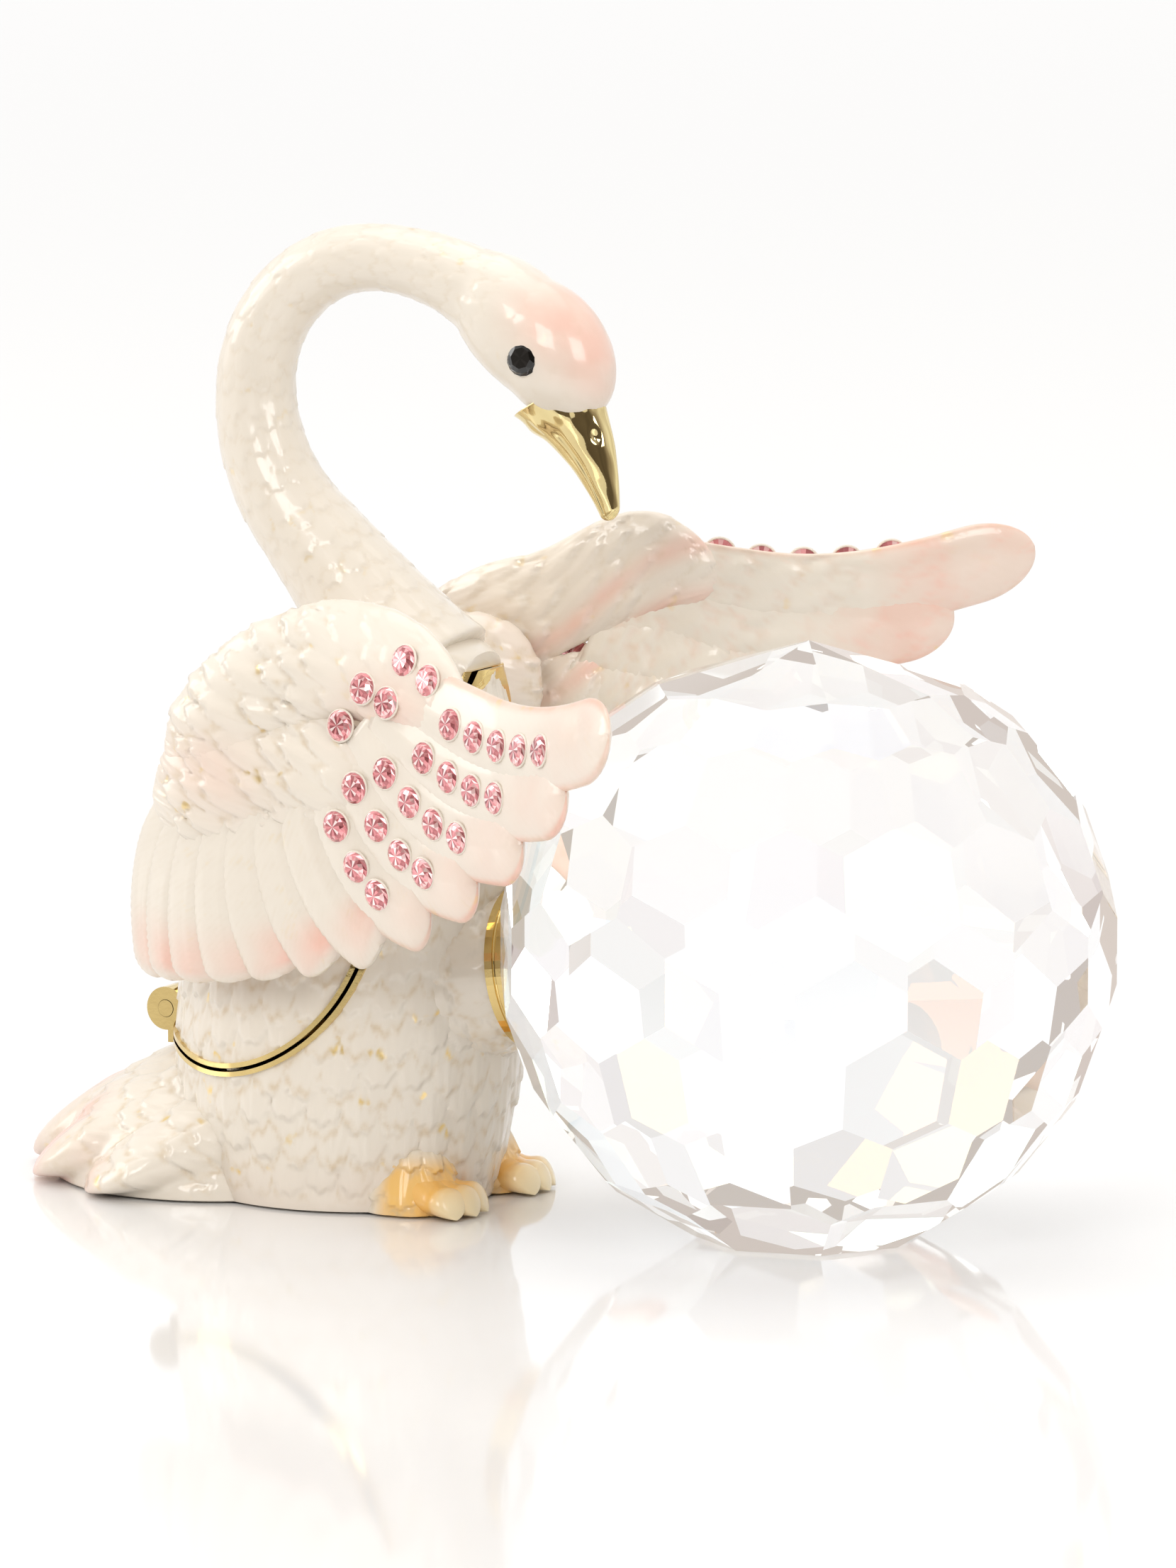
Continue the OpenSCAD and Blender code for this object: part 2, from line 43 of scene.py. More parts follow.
aim = Vector((0.0140, 0.0076, 0.0338))
turn, rise, away = np.radians(28.0), np.radians(8.6), 0.8
back = Vector((np.sin(turn) * np.cos(rise), -np.cos(turn) * np.cos(rise), np.sin(rise)))
lens = bpy.data.cameras.new("long_lens")
lens.lens, lens.sensor_width = 225.0, 36.0
lens.clip_start, lens.clip_end = 0.05, 20.0
camera = bpy.data.objects.new("camera", lens)
bpy.context.scene.collection.objects.link(camera)
camera.location = aim + back * away
camera.rotation_euler = back.to_track_quat("Z", "Y").to_euler()
bpy.context.scene.camera = camera
bpy.context.scene.view_settings.view_transform = "Standard"


def nodes_of(owner):
    """A fresh node tree, and a function that adds a node with its settings and input values."""
    owner.use_nodes = True
    tree = owner.node_tree
    tree.nodes.clear()
    return tree, adder(tree)


def adder(tree):
    """put(kind, inputs, **settings): kind without its ShaderNode prefix, and inputs as plain
    values, or (node, output) to link."""

    def put(kind, inputs=None, **settings):
        node = tree.nodes.new(kind if kind.startswith("NodeGroup") else "ShaderNode" + kind)
        for key, value in settings.items():
            setattr(node, key, value)
        for key, value in (inputs or {}).items():
            if isinstance(value, tuple) and isinstance(value[0], bpy.types.Node):
                tree.links.new(value[0].outputs[value[1]], node.inputs[key])
            else:
                node.inputs[key].default_value = value
        return node

    return put


def softbox(name, place, size, power, tint=(1.0, 1.0, 1.0)):
    """A square area light that looks at the object's middle."""
    light = bpy.data.lights.new(name, "AREA")
    light.size, light.energy, light.color = size, power, tint
    lamp = bpy.data.objects.new(name, light)
    bpy.context.scene.collection.objects.link(lamp)
    lamp.location = place
    lamp.rotation_euler = (Vector(place) - aim).to_track_quat("Z", "Y").to_euler()


world = bpy.data.worlds.new("white_room")
bpy.context.scene.world = world
tree, put = nodes_of(world)
where = put("TexCoord")
towards = put("VectorMath", {0: (where, "Generated"), 1: (back.x, back.y, 0.0)},
    operation="DOT_PRODUCT")
drift = put("TexNoise", {"Vector": (where, "Generated"), "Scale": 2.6, "Detail": 1.0})
pale = put("MapRange", {"Value": (drift, "Fac"), "From Min": 0.42, "From Max": 0.58,
    "To Min": 0.80, "To Max": 1.0})
dim = put("MapRange", {"Value": (towards, "Value"), "From Min": 0.1, "From Max": 0.8,
    "To Min": 1.0, "To Max": 0.16})
split = put("SeparateXYZ", {"Vector": (where, "Generated")})
over = put("MapRange", {"Value": (split, "Z"), "From Min": 0.25, "From Max": 0.8, "To Min": 0.0,
    "To Max": 0.75})
lit = put("Math", {0: (dim, "Result"), 1: (over, "Result")}, operation="MAXIMUM")
path = put("LightPath")
patchy = put("Math", {0: (lit, 0), 1: (pale, "Result")}, operation="MULTIPLY")
# seen through the glass, the dim side is only a light grey
through = put("Math", {0: (path, "Is Transmission Ray"), 1: 0.34}, operation="MULTIPLY")
least = put("Math", {0: (path, "Is Camera Ray"), 1: (through, 0)}, operation="MAXIMUM")
seen = put("Math", {0: (patchy, 0), 1: (least, 0)}, operation="MAXIMUM")
warm = put("Mix", {"Factor": (seen, 0), "A": (0.80, 0.62, 0.46, 1), "B": (1.0, 1.0, 1.0, 1)},
    data_type="RGBA")
level = put("Math", {0: (seen, 0), 1: 1.12}, operation="MULTIPLY")
sky = put("Background", {"Color": (warm, "Result"), "Strength": (level, 0)})
put("OutputWorld", {"Surface": (sky, "Background")})
softbox("top_box", (-0.05, 0.05, 0.8), 0.7, 1.7)
softbox("left_box", (-0.85, -0.25, 0.40), 0.5, 2.0, (1.0, 0.985, 0.96))
softbox("right_box", (0.78, -0.42, 0.42), 0.4, 2.7)
softbox("front_box", (0.10, -0.95, 0.50), 0.45, 3.5)

table = bpy.data.meshes.new("table")
# the table's near edge is close, so that bright metal mirrors the dim side of the room
ahead_way, side_way = Vector((back.x, back.y, 0)).normalized(), Vector((-back.y, back.x, 0)).normalized()
corners = [ahead_way * f + side_way * g for f, g in ((0.26, -3), (0.26, 3), (-3, 3), (-3, -3))]
table.from_pydata([tuple(c) for c in corners], [], [(0, 1, 2, 3)])
table_top = bpy.data.objects.new("table_top", table)
bpy.context.scene.collection.objects.link(table_top)
table_top.location.z = -0.0002
acrylic = bpy.data.materials.new("white_acrylic")
tree, put = nodes_of(acrylic)
gloss = put("BsdfPrincipled", {"Base Color": (0.83, 0.83, 0.83, 1), "Roughness": 0.065,
    "IOR": 1.45})
put("OutputMaterial", {"Surface": (gloss, "BSDF")})
table.materials.append(acrylic)

# ---- Base casting ----
# The lower half of the box: belly, breast and tail, one thin casting, gold plated inside
# and enamelled outside. Rows of small feathers are cast in, and their hollows are painted darker as shade.

mm = 0.001
body_back, body_front, body_width, body_height = 19.0, 11.5, 25.0, 44.0
wall, floor_thick, hollow_top = 1.5, 2.0, 34.5


def profile(z):
    """Front, back and half width of the box at height z: squared fall-offs from the belly line."""
    k = np.clip(z / body_height, 0, 1)
    low, high = np.clip((0.45 - k) / 0.45, 0, None), np.clip((k - 0.45) / 0.55, 0, None)
    front = body_front * (1 - 0.3 * low**2 - 0.18 * high**2)
    low, high = np.clip((0.25 - k) / 0.25, 0, None), np.clip((k - 0.25) / 0.75, 0, None)
    rear = -body_back * (1 - 0.09 * low**2 - 0.53 * high**2)
    low = np.clip((0.3 - k) / 0.3, 0, None)
    half = body_width / 2 * np.where(k < 0.3, 1 - 0.14 * low**2,
        np.sqrt(1 - (np.clip(k - 0.3, 0, 1) / 0.82) ** 2))
    dome = np.sqrt(np.clip(1 - (np.clip(z / body_height - 1, 0, 1) / 0.07) ** 2, 0.0004, 1))
    return (front + rear) / 2, (front - rear) / 2 * dome, half * dome


def box_skin(z, angle, out):
    """Ellipse at each height, grown by out: [middle + a cos, b sin, z]."""
    middle, a, b = profile(z)
    return np.stack([middle + (a + out) * np.cos(angle), (b + out) * np.sin(angle), z + 0 * angle], -1)


def step(t):
    """Smooth step from 0 to 1."""
    t = np.clip(t, 0, 1)
    return t * t * (3 - 2 * t)


def scales(u, v):
    """Overlapping round-tipped feathers, one a unit across u and down v. Each rises towards
    its tip and ends in a half-round step. Gives the height, and a mask under each tip for painted shade and
    worn gold."""
    height, hollow, cover = np.zeros_like(u), np.zeros_like(u), np.zeros_like(u)
    for behind in (2, 1, 0):
        row = np.floor(v) - behind
        across = u - 0.5 * (row % 2) + 0.13 * np.sin(2.3 * row)
        which = np.round(across)
        across = 2 * (across - which)
        down = v - row + 0.22 * np.sin(5.1 * which + 3.7 * row)
        reach = 1.15 + 0.6 * np.sqrt(np.clip(1 - across**2, 0, 1)) + 0.07 * np.sin(9 * across + 2 * which)
        inside = step((reach - down) / 0.16)
        lift = inside * (0.25 + 0.75 * down / 1.9) * (1 - 0.3 * across**2)
        shaft = 0.10 * np.exp(-((across / 0.12) ** 2)) * inside
        barbs = 0.035 * np.sin(11 * np.sign(across) * (np.abs(across) + 0.35 * down)) * inside
        hollow = np.maximum(hollow, np.exp(-(((down - reach - 0.06) / 0.13) ** 2)) * (1 - cover))
        height = np.where(cover > 0.5, height, np.maximum(height, lift + shaft + barbs))
        cover = np.maximum(cover, inside)
    return height, hollow


def ring_grid(along, n):
    """A grid of the given values against n angles of a full turn."""
    return np.meshgrid(along, np.arange(n) * 2 * np.pi / n, indexing="ij")


def tube(p):
    """Skin over rings p[i, j]: ring i joined to ring i + 1, each end closed on its middle."""
    m, n = p.shape[:2]
    i, j = np.meshgrid(np.arange(m - 1), np.arange(n), indexing="ij")
    a, b = i * n + j, i * n + (j + 1) % n
    quads = np.stack([a, b, b + n, a + n], -1).reshape(-1, 4)
    k, last = np.arange(n), (m - 1) * n
    begin = np.stack([0 * k + m * n, (k + 1) % n, k], -1)
    end = np.stack([0 * k + m * n + 1, k + last, (k + 1) % n + last], -1)
    return np.concatenate([p.reshape(-1, 3), [p[0].mean(0), p[-1].mean(0)]]), quads, np.concatenate([begin,
        end])


def with_ends(value):
    """A value per ring point, followed by the two end points' means, as tube() orders them."""
    return np.concatenate([value.reshape(-1), [value[0].mean(), value[-1].mean()]])


def mesh_of(name, shells, values=None, flip=False):
    """One mesh in metres from shells in millimetres. flip mirrors it to the swan's left side."""
    verts = np.concatenate([s[0] for s in shells]) * mm
    start = np.cumsum([0] + [len(s[0]) for s in shells[:-1]])
    quads = np.concatenate([s[1] + b for s, b in zip(shells, start)])
    tris = np.concatenate([s[2] + b for s, b in zip(shells, start)])
    if flip:
        verts, quads, tris = verts * [1, -1, 1], quads[:, ::-1], tris[:, ::-1]
    mesh = bpy.data.meshes.new(name)
    mesh.vertices.add(len(verts))
    mesh.vertices.foreach_set("co", verts.astype(np.float32).ravel())
    loops = np.concatenate([quads.ravel(), tris.ravel()])
    mesh.loops.add(len(loops))
    mesh.loops.foreach_set("vertex_index", loops.astype(np.int32))
    sizes = np.concatenate([np.full(len(quads), 4), np.full(len(tris), 3)])
    mesh.polygons.add(len(sizes))
    mesh.polygons.foreach_set("loop_start", (np.cumsum(sizes) - sizes).astype(np.int32))
    mesh.polygons.foreach_set("use_smooth", np.ones(len(sizes), bool))
    for key, value in (values or {}).items():
        mesh.attributes.new(key, "FLOAT", "POINT").data.foreach_set("value", value.astype(np.float32))
    mesh.update(calc_edges=True)
    mesh.validate()
    return mesh


def show(name, mesh, body, materials, *cad_nodes):
    """A piece of the object: its mesh, its finish, the body it moves with, what it stands for."""
    thing = bpy.data.objects.new(name, mesh)
    bpy.context.scene.collection.objects.link(thing)
    for material in materials:
        mesh.materials.append(material)
    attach(thing, body)
    if cad_nodes:
        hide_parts(*cad_nodes)
    return thing


feathers_round, feather_rows, row_start = 29, 3.0, 60
smooth_foot, smooth_top, dome_share = 2.0, 46, 1.0695
rings, spokes = 210, 400
z, angle = ring_grid(np.linspace(0, body_height * dome_share, rings), spokes)
relief, _ = scales(angle / (2 * np.pi) * feathers_round, (row_start - z) / feather_rows)
calm = step(z / smooth_foot) * step((smooth_top - z) / 4)
outer = box_skin(z, angle, (0.52 * relief - 0.42) * calm)
# The hollow shares the casting's mesh, turned inside out.
hz, hangle = ring_grid(np.linspace(floor_thick, hollow_top, 40), 96)
thick = wall * (1 + 0.6 * ((hz - floor_thick) / (hollow_top - floor_thick)) ** 2)
inner = tube(box_skin(hz, hangle, -thick))
inner = (inner[0], inner[1][:, ::-1], inner[2][:, ::-1])
whole_box = mesh_of("whole_box", [tube(outer), inner])

# The opening seen from the side: a round dip at the back, then a straight line to the clasp.
seam_gap, rim_high, seam_r = 0.3, 0.4, 14.65
seam_mid = np.array([-body_back + 8.3, seam_r + 11.15])
clasp = np.array([profile(0.96 * body_height)[0] + profile(0.96 * body_height)[1] - 1.1, body_height - 1.8])
to_clasp = clasp - seam_mid
lean = np.arctan2(to_clasp[1], to_clasp[0]) - np.arccos(seam_r / np.hypot(*to_clasp))
seam_out = np.array([np.cos(lean), np.sin(lean)])
seam_up = np.array([-seam_out[1], seam_out[0]])


def opening(grow):
    """Outline in X and Z of everything behind and above the opening, grown by grow: a circle's
    arc from the clasp line round to the line towards the far back."""
    far = np.array([-70.0, 32.0])
    to_far = far - seam_mid
    start = np.arctan2(to_far[1], to_far[0]) + np.arccos((seam_r - 5) / np.hypot(*to_far))
    a = np.linspace(start - 2 * np.pi if start > 0 else start, lean, 160)
    arc = seam_mid + (seam_r + grow) * np.stack([np.cos(a), np.sin(a)], -1)
    top = clasp + seam_out * grow + seam_up * 1.0
    corner = clasp + seam_out * (grow - 4) + seam_up * 40
    return np.concatenate([[far + (5 + grow) * np.array([np.cos(start), np.sin(start)])], arc,
        [top, corner, [-70, 100]]])


def prism(name, outline):
    """The outline carried straight through the object from right to left."""
    ring = np.stack([outline[:, 0], 0 * outline[:, 0], outline[:, 1]], -1)
    p = np.stack([ring + [0, 45, 0], ring - [0, 45, 0]])
    mesh = mesh_of(name, [tube(p)])
    fixed = bmesh.new()
    fixed.from_mesh(mesh)
    bmesh.ops.recalc_face_normals(fixed, faces=fixed.faces)
    fixed.to_mesh(mesh)
    fixed.free()
    return mesh


def cut(mesh, tools, how):
    """The mesh after one boolean with each tool, as a new mesh."""
    body = bpy.data.objects.new("cut_body", mesh)
    bpy.context.scene.collection.objects.link(body)
    made = [body]
    for tool, operation in zip(tools, how):
        other = bpy.data.objects.new("cut_tool", tool)
        bpy.context.scene.collection.objects.link(other)
        made.append(other)
        m = body.modifiers.new("cut", "BOOLEAN")
        m.solver, m.operation, m.object = "MANIFOLD", operation, other
    result = bpy.data.meshes.new_from_object(body.evaluated_get(bpy.context.evaluated_depsgraph_get()))
    for thing in made:
        bpy.data.objects.remove(thing)
    result.materials.clear()
    return result


def cylinder(start, end, r, n=48):
    """A straight round bar from start to end."""
    start, end = np.array(start, float), np.array(end, float)
    d = (end - start) / np.linalg.norm(end - start)
    u = np.cross(d, [0.3, 0.5, 0.81])
    u /= np.linalg.norm(u)
    v = np.cross(d, u)
    a = np.arange(n) * 2 * np.pi / n
    ring = r * (np.cos(a)[:, None] * u + np.sin(a)[:, None] * v)
    return tube(np.stack([start + ring, end + ring]))


hinge_x, hinge_z, knuckle_r, barrel = -body_back - 0.8, 14.1, 1.8, 6.2
hinge_room = mesh_of("hinge_room", [cylinder((hinge_x, -barrel / 2 - 0.3, hinge_z),
    (hinge_x, barrel / 2 + 0.3, hinge_z), knuckle_r + 0.3)])
ball_r, ball_cut, cup_tilt = 25.1, 1.7, np.radians(8)
collar_thick, cup_thick, glue, cup_room_r = 0.7, 0.8, 0.1, 6.72
ball_z = ball_r - ball_cut
breast = profile(ball_z - ball_r * np.sin(cup_tilt))
ball_x = breast[0] + breast[1] + collar_thick + cup_thick + glue + ball_r * np.cos(cup_tilt)
ball_mid = np.array([ball_x, 0, ball_z])
cup_way = np.array([-np.cos(cup_tilt), 0, -np.sin(cup_tilt)])
cup_seat = mesh_of("cup_seat", [cylinder(ball_mid + cup_way * 23, ball_mid + cup_way * 26.02, cup_room_r,
    64)])


def paint_box(mesh):
    """After the cuts: how deep each point lies in the feather relief, as the mask for painted shade, and
    which faces are wall.
    """
    co = np.empty(len(mesh.vertices) * 3, np.float32)
    mesh.vertices.foreach_get("co", co)
    co = co.reshape(-1, 3) / mm
    middle, a, b = profile(co[:, 2])
    turn = np.arctan2(co[:, 1] / b, (co[:, 0] - middle) / a)
    out = np.hypot((co[:, 0] - middle) / a, co[:, 1] / b)
    _, hollow = scales(turn / (2 * np.pi) * feathers_round, (row_start - co[:, 2]) / feather_rows)
    hollow = hollow * step(co[:, 2] / smooth_foot) * step((smooth_top - co[:, 2]) / 4)
    blush = step((6 - co[:, 2]) / 6) * 0.12
    for key, value in (("hollow", hollow), ("blush", blush)):
        if key not in mesh.attributes:
            mesh.attributes.new(key, "FLOAT", "POINT")
        mesh.attributes[key].data.foreach_set("value", value.astype(np.float32))
    mid = np.empty(len(mesh.polygons) * 3, np.float32)
    mesh.polygons.foreach_get("center", mid)
    mid = mid.reshape(-1, 3) / mm
    middle, a, b = profile(mid[:, 2])
    inside = np.hypot((mid[:, 0] - middle) / a, mid[:, 1] / b) < 1 - 0.75 / np.minimum(a, b)
    inside &= mid[:, 2] > 0.5
    mesh.polygons.foreach_set("material_index", inside.astype(np.int32))
    mesh.polygons.foreach_set("use_smooth", np.ones(len(mid), bool))
    mesh.set_sharp_from_angle(angle=np.radians(50))


def tail_lobe(turn_deg, long, wide):
    """One lobe of the tail: a long wedge with a round end, its rings at distance x behind a pivot."""
    t, j = ring_grid(np.sin(np.linspace(0, np.pi / 2, 60)), 48)
    x = 7 + (long - 7) * t
    high = (14.5 - 10.5 * t) * (1 - abs(turn_deg) / 160) * np.sqrt(np.clip(1 - t**6, 0.02, 1))
    half = wide * np.sqrt(np.clip(1 - (np.clip(t - 0.6, 0, 1) / 0.4) ** 2.4, 0.0004, 1))
    a, px, py = np.radians(turn_deg), -x, -half * np.cos(j)
    up = 0.1 + high * (0.5 + 0.5 * np.sin(j))
    return tube(np.stack([-6 + px * np.cos(a) - py * np.sin(a), px * np.sin(a) + py * np.cos(a), up], -1))


def rounded(middle, sizes, tilt, n=48):
    """Ellipsoid rings from pole to pole, tilted about Y."""
    a, j = np.meshgrid(np.linspace(0.03, np.pi - 0.03, n), np.arange(2 * n) * np.pi / n, indexing="ij")
    x, y, z = sizes[0] * np.cos(a), sizes[1] * np.sin(a) * np.cos(j), sizes[2] * np.sin(a) * np.sin(j)
    t = np.radians(tilt)
    return tube(np.stack([middle[0] + x * np.cos(t) + z * np.sin(t), middle[1] - y,
        middle[2] - x * np.sin(t) + z * np.cos(t)], -1))


def fused(name, shells, voxel, passes):
    """The shells joined into one skin on a fine grid and smoothed, as a wax model is."""
    mesh = mesh_of(name, shells)
    body = bpy.data.objects.new(name, mesh)
    bpy.context.scene.collection.objects.link(body)
    m = body.modifiers.new("join", "REMESH")
    m.mode, m.voxel_size, m.use_smooth_shade = "VOXEL", voxel * mm, True
    m = body.modifiers.new("soften", "SMOOTH")
    m.iterations, m.factor = passes, 0.5
    result = bpy.data.meshes.new_from_object(body.evaluated_get(bpy.context.evaluated_depsgraph_get()))
    bpy.data.objects.remove(body)
    return result


def points_of(mesh):
    """Places and outward directions of all vertices, in millimetres."""
    co, normal = np.empty(len(mesh.vertices) * 3, np.float32), np.empty(len(mesh.vertices) * 3, np.float32)
    mesh.vertices.foreach_get("co", co)
    mesh.vertex_normals.foreach_get("vector", normal)
    return co.reshape(-1, 3).astype(float) / mm, normal.reshape(-1, 3).astype(float)


def carve(mesh, co, normal, depth, **values):
    """Moves each vertex out by its depth and stores the named values on the vertices."""
    moved = co + normal * depth[:, None]
    moved[:, 2] = np.maximum(moved[:, 2], 0)
    mesh.vertices.foreach_set("co", (moved * mm).astype(np.float32).ravel())
    for key, value in values.items():
        mesh.attributes.new(key, "FLOAT", "POINT").data.foreach_set("value", value.astype(np.float32))
    mesh.update()


lobe_ways = np.array([0.0, -19, 19, -39, 39])
skirt = [tail_lobe(w, l, h) for w, l, h in zip(lobe_ways, (28, 25, 25, 20.5, 20.5),
    (4.9, 5.0, 5.0, 5.4, 5.4))]
tail_mesh = fused("tail_blank", skirt + [rounded((-17, 0, 0), (13, 12.3, 10.3), 0)], 0.24, 7)
co, normal = points_of(tail_mesh)
reach_out, fan = np.hypot(co[:, 0] + 6, co[:, 1]), np.degrees(np.arctan2(-co[:, 1], -co[:, 0] - 6))
# side rows of small feathers fade into smooth ribbed lobes at the tips
relief, hollow = scales(np.arctan2(co[:, 1], co[:, 2] + 3) * 3.7, (40 - co[:, 0] - 0.35 * co[:, 2]) / 3.0)
body_part = (1 - step((reach_out - 19) / 4)) * step(co[:, 2] / 1.5)
ribs = 0.07 * np.sin(np.radians(fan) * 75) * step((reach_out - 18) / 5) * np.clip(normal[:, 2], 0, 1)
nearest = np.abs(fan[:, None] + lobe_ways[None]).min(1)
# painted shade in the feather hollows and in the gaps between the lobes; the lobes' middles are tinted pink
carve(tail_mesh, co, normal, (0.50 * relief - 0.40) * body_part + ribs,
      hollow=hollow * body_part + 0.5 * step((nearest - 6.5) / 3) * step((reach_out - 17) / 4),
      blush=1.2 * step((reach_out - 17) / 5) * np.exp(-((nearest / 6.5) ** 2)))

# Two shader groups that the enamelled pieces and the plated pieces share.
def group_of(name, inputs, outputs):
    """An empty shader group with the named sockets, its put() and its input node."""
    group = bpy.data.node_groups.new(name, "ShaderNodeTree")
    for way, sockets in (("INPUT", inputs), ("OUTPUT", outputs)):
        for label, kind in sockets.items():
            group.interface.new_socket(label, in_out=way, socket_type="NodeSocket" + kind)
    put = adder(group)
    return group, put, put("NodeGroupInput")


glaze, put, given = group_of(
    "enamel_glaze",
    {"Vector": "Vector", "Body Colour": "Color", "Blush Colour": "Color", "Blush": "Float",
        "Hollow": "Float"},
    {"Colour": "Color", "Roughness": "Float", "Metal": "Float", "Height": "Float"},
)
cloud = put("TexNoise", {"Vector": (given, "Vector"), "Scale": 140.0, "Detail": 3.0})
cloud_map = put("MapRange", {"Value": (cloud, "Fac"), "From Min": 0.42, "From Max": 0.62})
patch = put("Math", {0: (given, "Blush"), 1: (cloud_map, "Result")}, operation="MULTIPLY")
patch2 = put("Math", {0: (patch, 0), 1: (given, "Blush")}, operation="ADD")
patch3 = put("Math", {0: (patch2, 0), 1: 0.42}, operation="MULTIPLY", use_clamp=True)
tinted = put("Mix", {"Factor": (patch3, 0), "A": (given, "Body Colour"),
    "B": (given, "Blush Colour")}, data_type="RGBA")
# painted shade: the hollows are mixed towards brown, broken up by fine noise; worn specks there show the
# gold
fleck = put("TexNoise", {"Vector": (given, "Vector"), "Scale": 900.0, "Detail": 4.0})
fleck_map = put("MapRange", {"Value": (fleck, "Fac"), "From Min": 0.35, "From Max": 0.7})
painted_shade = put("Math", {0: (given, "Hollow"), 1: (fleck_map, "Result")}, operation="MULTIPLY",
    use_clamp=True)
painted_shade_amount = put("Math", {0: (painted_shade, 0), 1: 0.75}, operation="MULTIPLY")
shaded_colour = put("Mix", {"Factor": (painted_shade_amount, 0), "A": (tinted, "Result"), "B": (0.62, 0.48, 0.30, 1)},
    data_type="RGBA")
bare = put("TexNoise", {"Vector": (given, "Vector"), "Scale": 420.0, "Detail": 2.0})
bare_map = put("MapRange", {"Value": (bare, "Fac"), "From Min": 0.64, "From Max": 0.69})
speck = put("Math", {0: (bare_map, "Result"), 1: (given, "Hollow")}, operation="MULTIPLY",
    use_clamp=True)
plated = put("Mix", {"Factor": (speck, 0), "A": (shaded_colour, "Result"), "B": (0.83, 0.62, 0.25, 1)},
    data_type="RGBA")
rough = put("MapRange", {"Value": (cloud, "Fac"), "To Min": 0.22, "To Max": 0.42})
grit = put("TexNoise", {"Vector": (given, "Vector"), "Scale": 1500.0, "Detail": 3.0})
put("NodeGroupOutput", {"Colour": (plated, "Result"), "Roughness": (rough, "Result"), "Metal": (speck, 0),
    "Height": (grit, "Fac")})

plating, put, given = group_of(
    "gold_plating", {"Vector": "Vector", "Colour": "Color", "Dullest": "Float"},
    {"Colour": "Color", "Roughness": "Float", "Height": "Float"},
)
cloud = put("TexNoise", {"Vector": (given, "Vector"), "Scale": 300.0, "Detail": 5.0})
mark = put("TexNoise", {"Vector": (given, "Vector"), "Scale": 1800.0, "Detail": 3.0})
dull = put("MapRange", {"Value": (cloud, "Fac"), "From Min": 0.3, "From Max": 0.7, "To Min": 0.02,
    "To Max": (given, "Dullest")})
dark = put("MapRange", {"Value": (cloud, "Fac"), "From Min": 0.3, "From Max": 0.75, "To Min": 0.0,
    "To Max": 0.35})
shade = put("Mix", {"Factor": (dark, "Result"), "A": (given, "Colour"),
    "B": (0.52, 0.36, 0.14, 1)}, data_type="RGBA")
put("NodeGroupOutput", {"Colour": (shade, "Result"), "Roughness": (dull, "Result"),
    "Height": (mark, "Fac")})


def enamel(name, colour, blush):
    """Fired enamel over the plated casting: the glaze group under a clear hard coat."""
    material = bpy.data.materials.new(name)
    tree, put = nodes_of(material)
    group = put("Group", node_tree=glaze)
    tree.links.new(put("TexCoord").outputs["Object"], group.inputs["Vector"])
    tree.links.new(put("Attribute", attribute_name="blush").outputs["Fac"], group.inputs["Blush"])
    # the mask for painted shade and wear in the hollows, and the pink blush, come from the mesh
    tree.links.new(put("Attribute", attribute_name="hollow").outputs["Fac"],
        group.inputs["Hollow"])
    group.inputs["Body Colour"].default_value, group.inputs["Blush Colour"].default_value = colour, blush
    bump = put("Bump", {"Height": (group, "Height"), "Strength": 0.12, "Distance": 0.0001})
    surface = put(
        "BsdfPrincipled",
        {"Base Color": (group, "Colour"), "Roughness": (group, "Roughness"), "Metallic": (group, "Metal"),
         "Normal": (bump, "Normal"), "Coat Weight": 0.6, "Coat Roughness": 0.07},
    )
    put("OutputMaterial", {"Surface": (surface, "BSDF")})
    return material


def gold(name, colour, strength=0.08, dullest=0.16):
    """Gold plate on polished casting: the plating group on a full metal."""
    material = bpy.data.materials.new(name)
    tree, put = nodes_of(material)
    group = put("Group", node_tree=plating)
    tree.links.new(put("TexCoord").outputs["Object"], group.inputs["Vector"])
    group.inputs["Colour"].default_value, group.inputs["Dullest"].default_value = colour, dullest
    bump = put("Bump", {"Height": (group, "Height"), "Strength": strength, "Distance": 0.0001})
    surface = put(
        "BsdfPrincipled",
        {"Base Color": (group, "Colour"), "Roughness": (group, "Roughness"), "Metallic": 1.0,
            "Normal": (bump, "Normal")},
    )
    put("OutputMaterial", {"Surface": (surface, "BSDF")})
    return material


pearl = enamel("pearl_enamel", (0.80, 0.735, 0.635, 1), (0.86, 0.47, 0.37, 1))
plate = gold("gold_plate", (0.86, 0.67, 0.32, 1))

base_mesh = cut(whole_box, [prism("lid_side", opening(seam_gap / 2 + rim_high)), hinge_room, cup_seat],
    ["DIFFERENCE"] * 3)
paint_box(base_mesh)
base_casting = show("base_casting", base_mesh, "base", [pearl, plate], "base_shell")
room = mesh_of("room", [tube(box_skin(*ring_grid(np.linspace(1.4, 20, 12), 72), -1.1))])
tail_mesh = cut(tail_mesh, [room, prism("above_tail", opening(seam_gap / 2 + rim_high)), hinge_room],
    ["DIFFERENCE"] * 3)
tail = show("tail_feathers", tail_mesh, "base", [pearl])

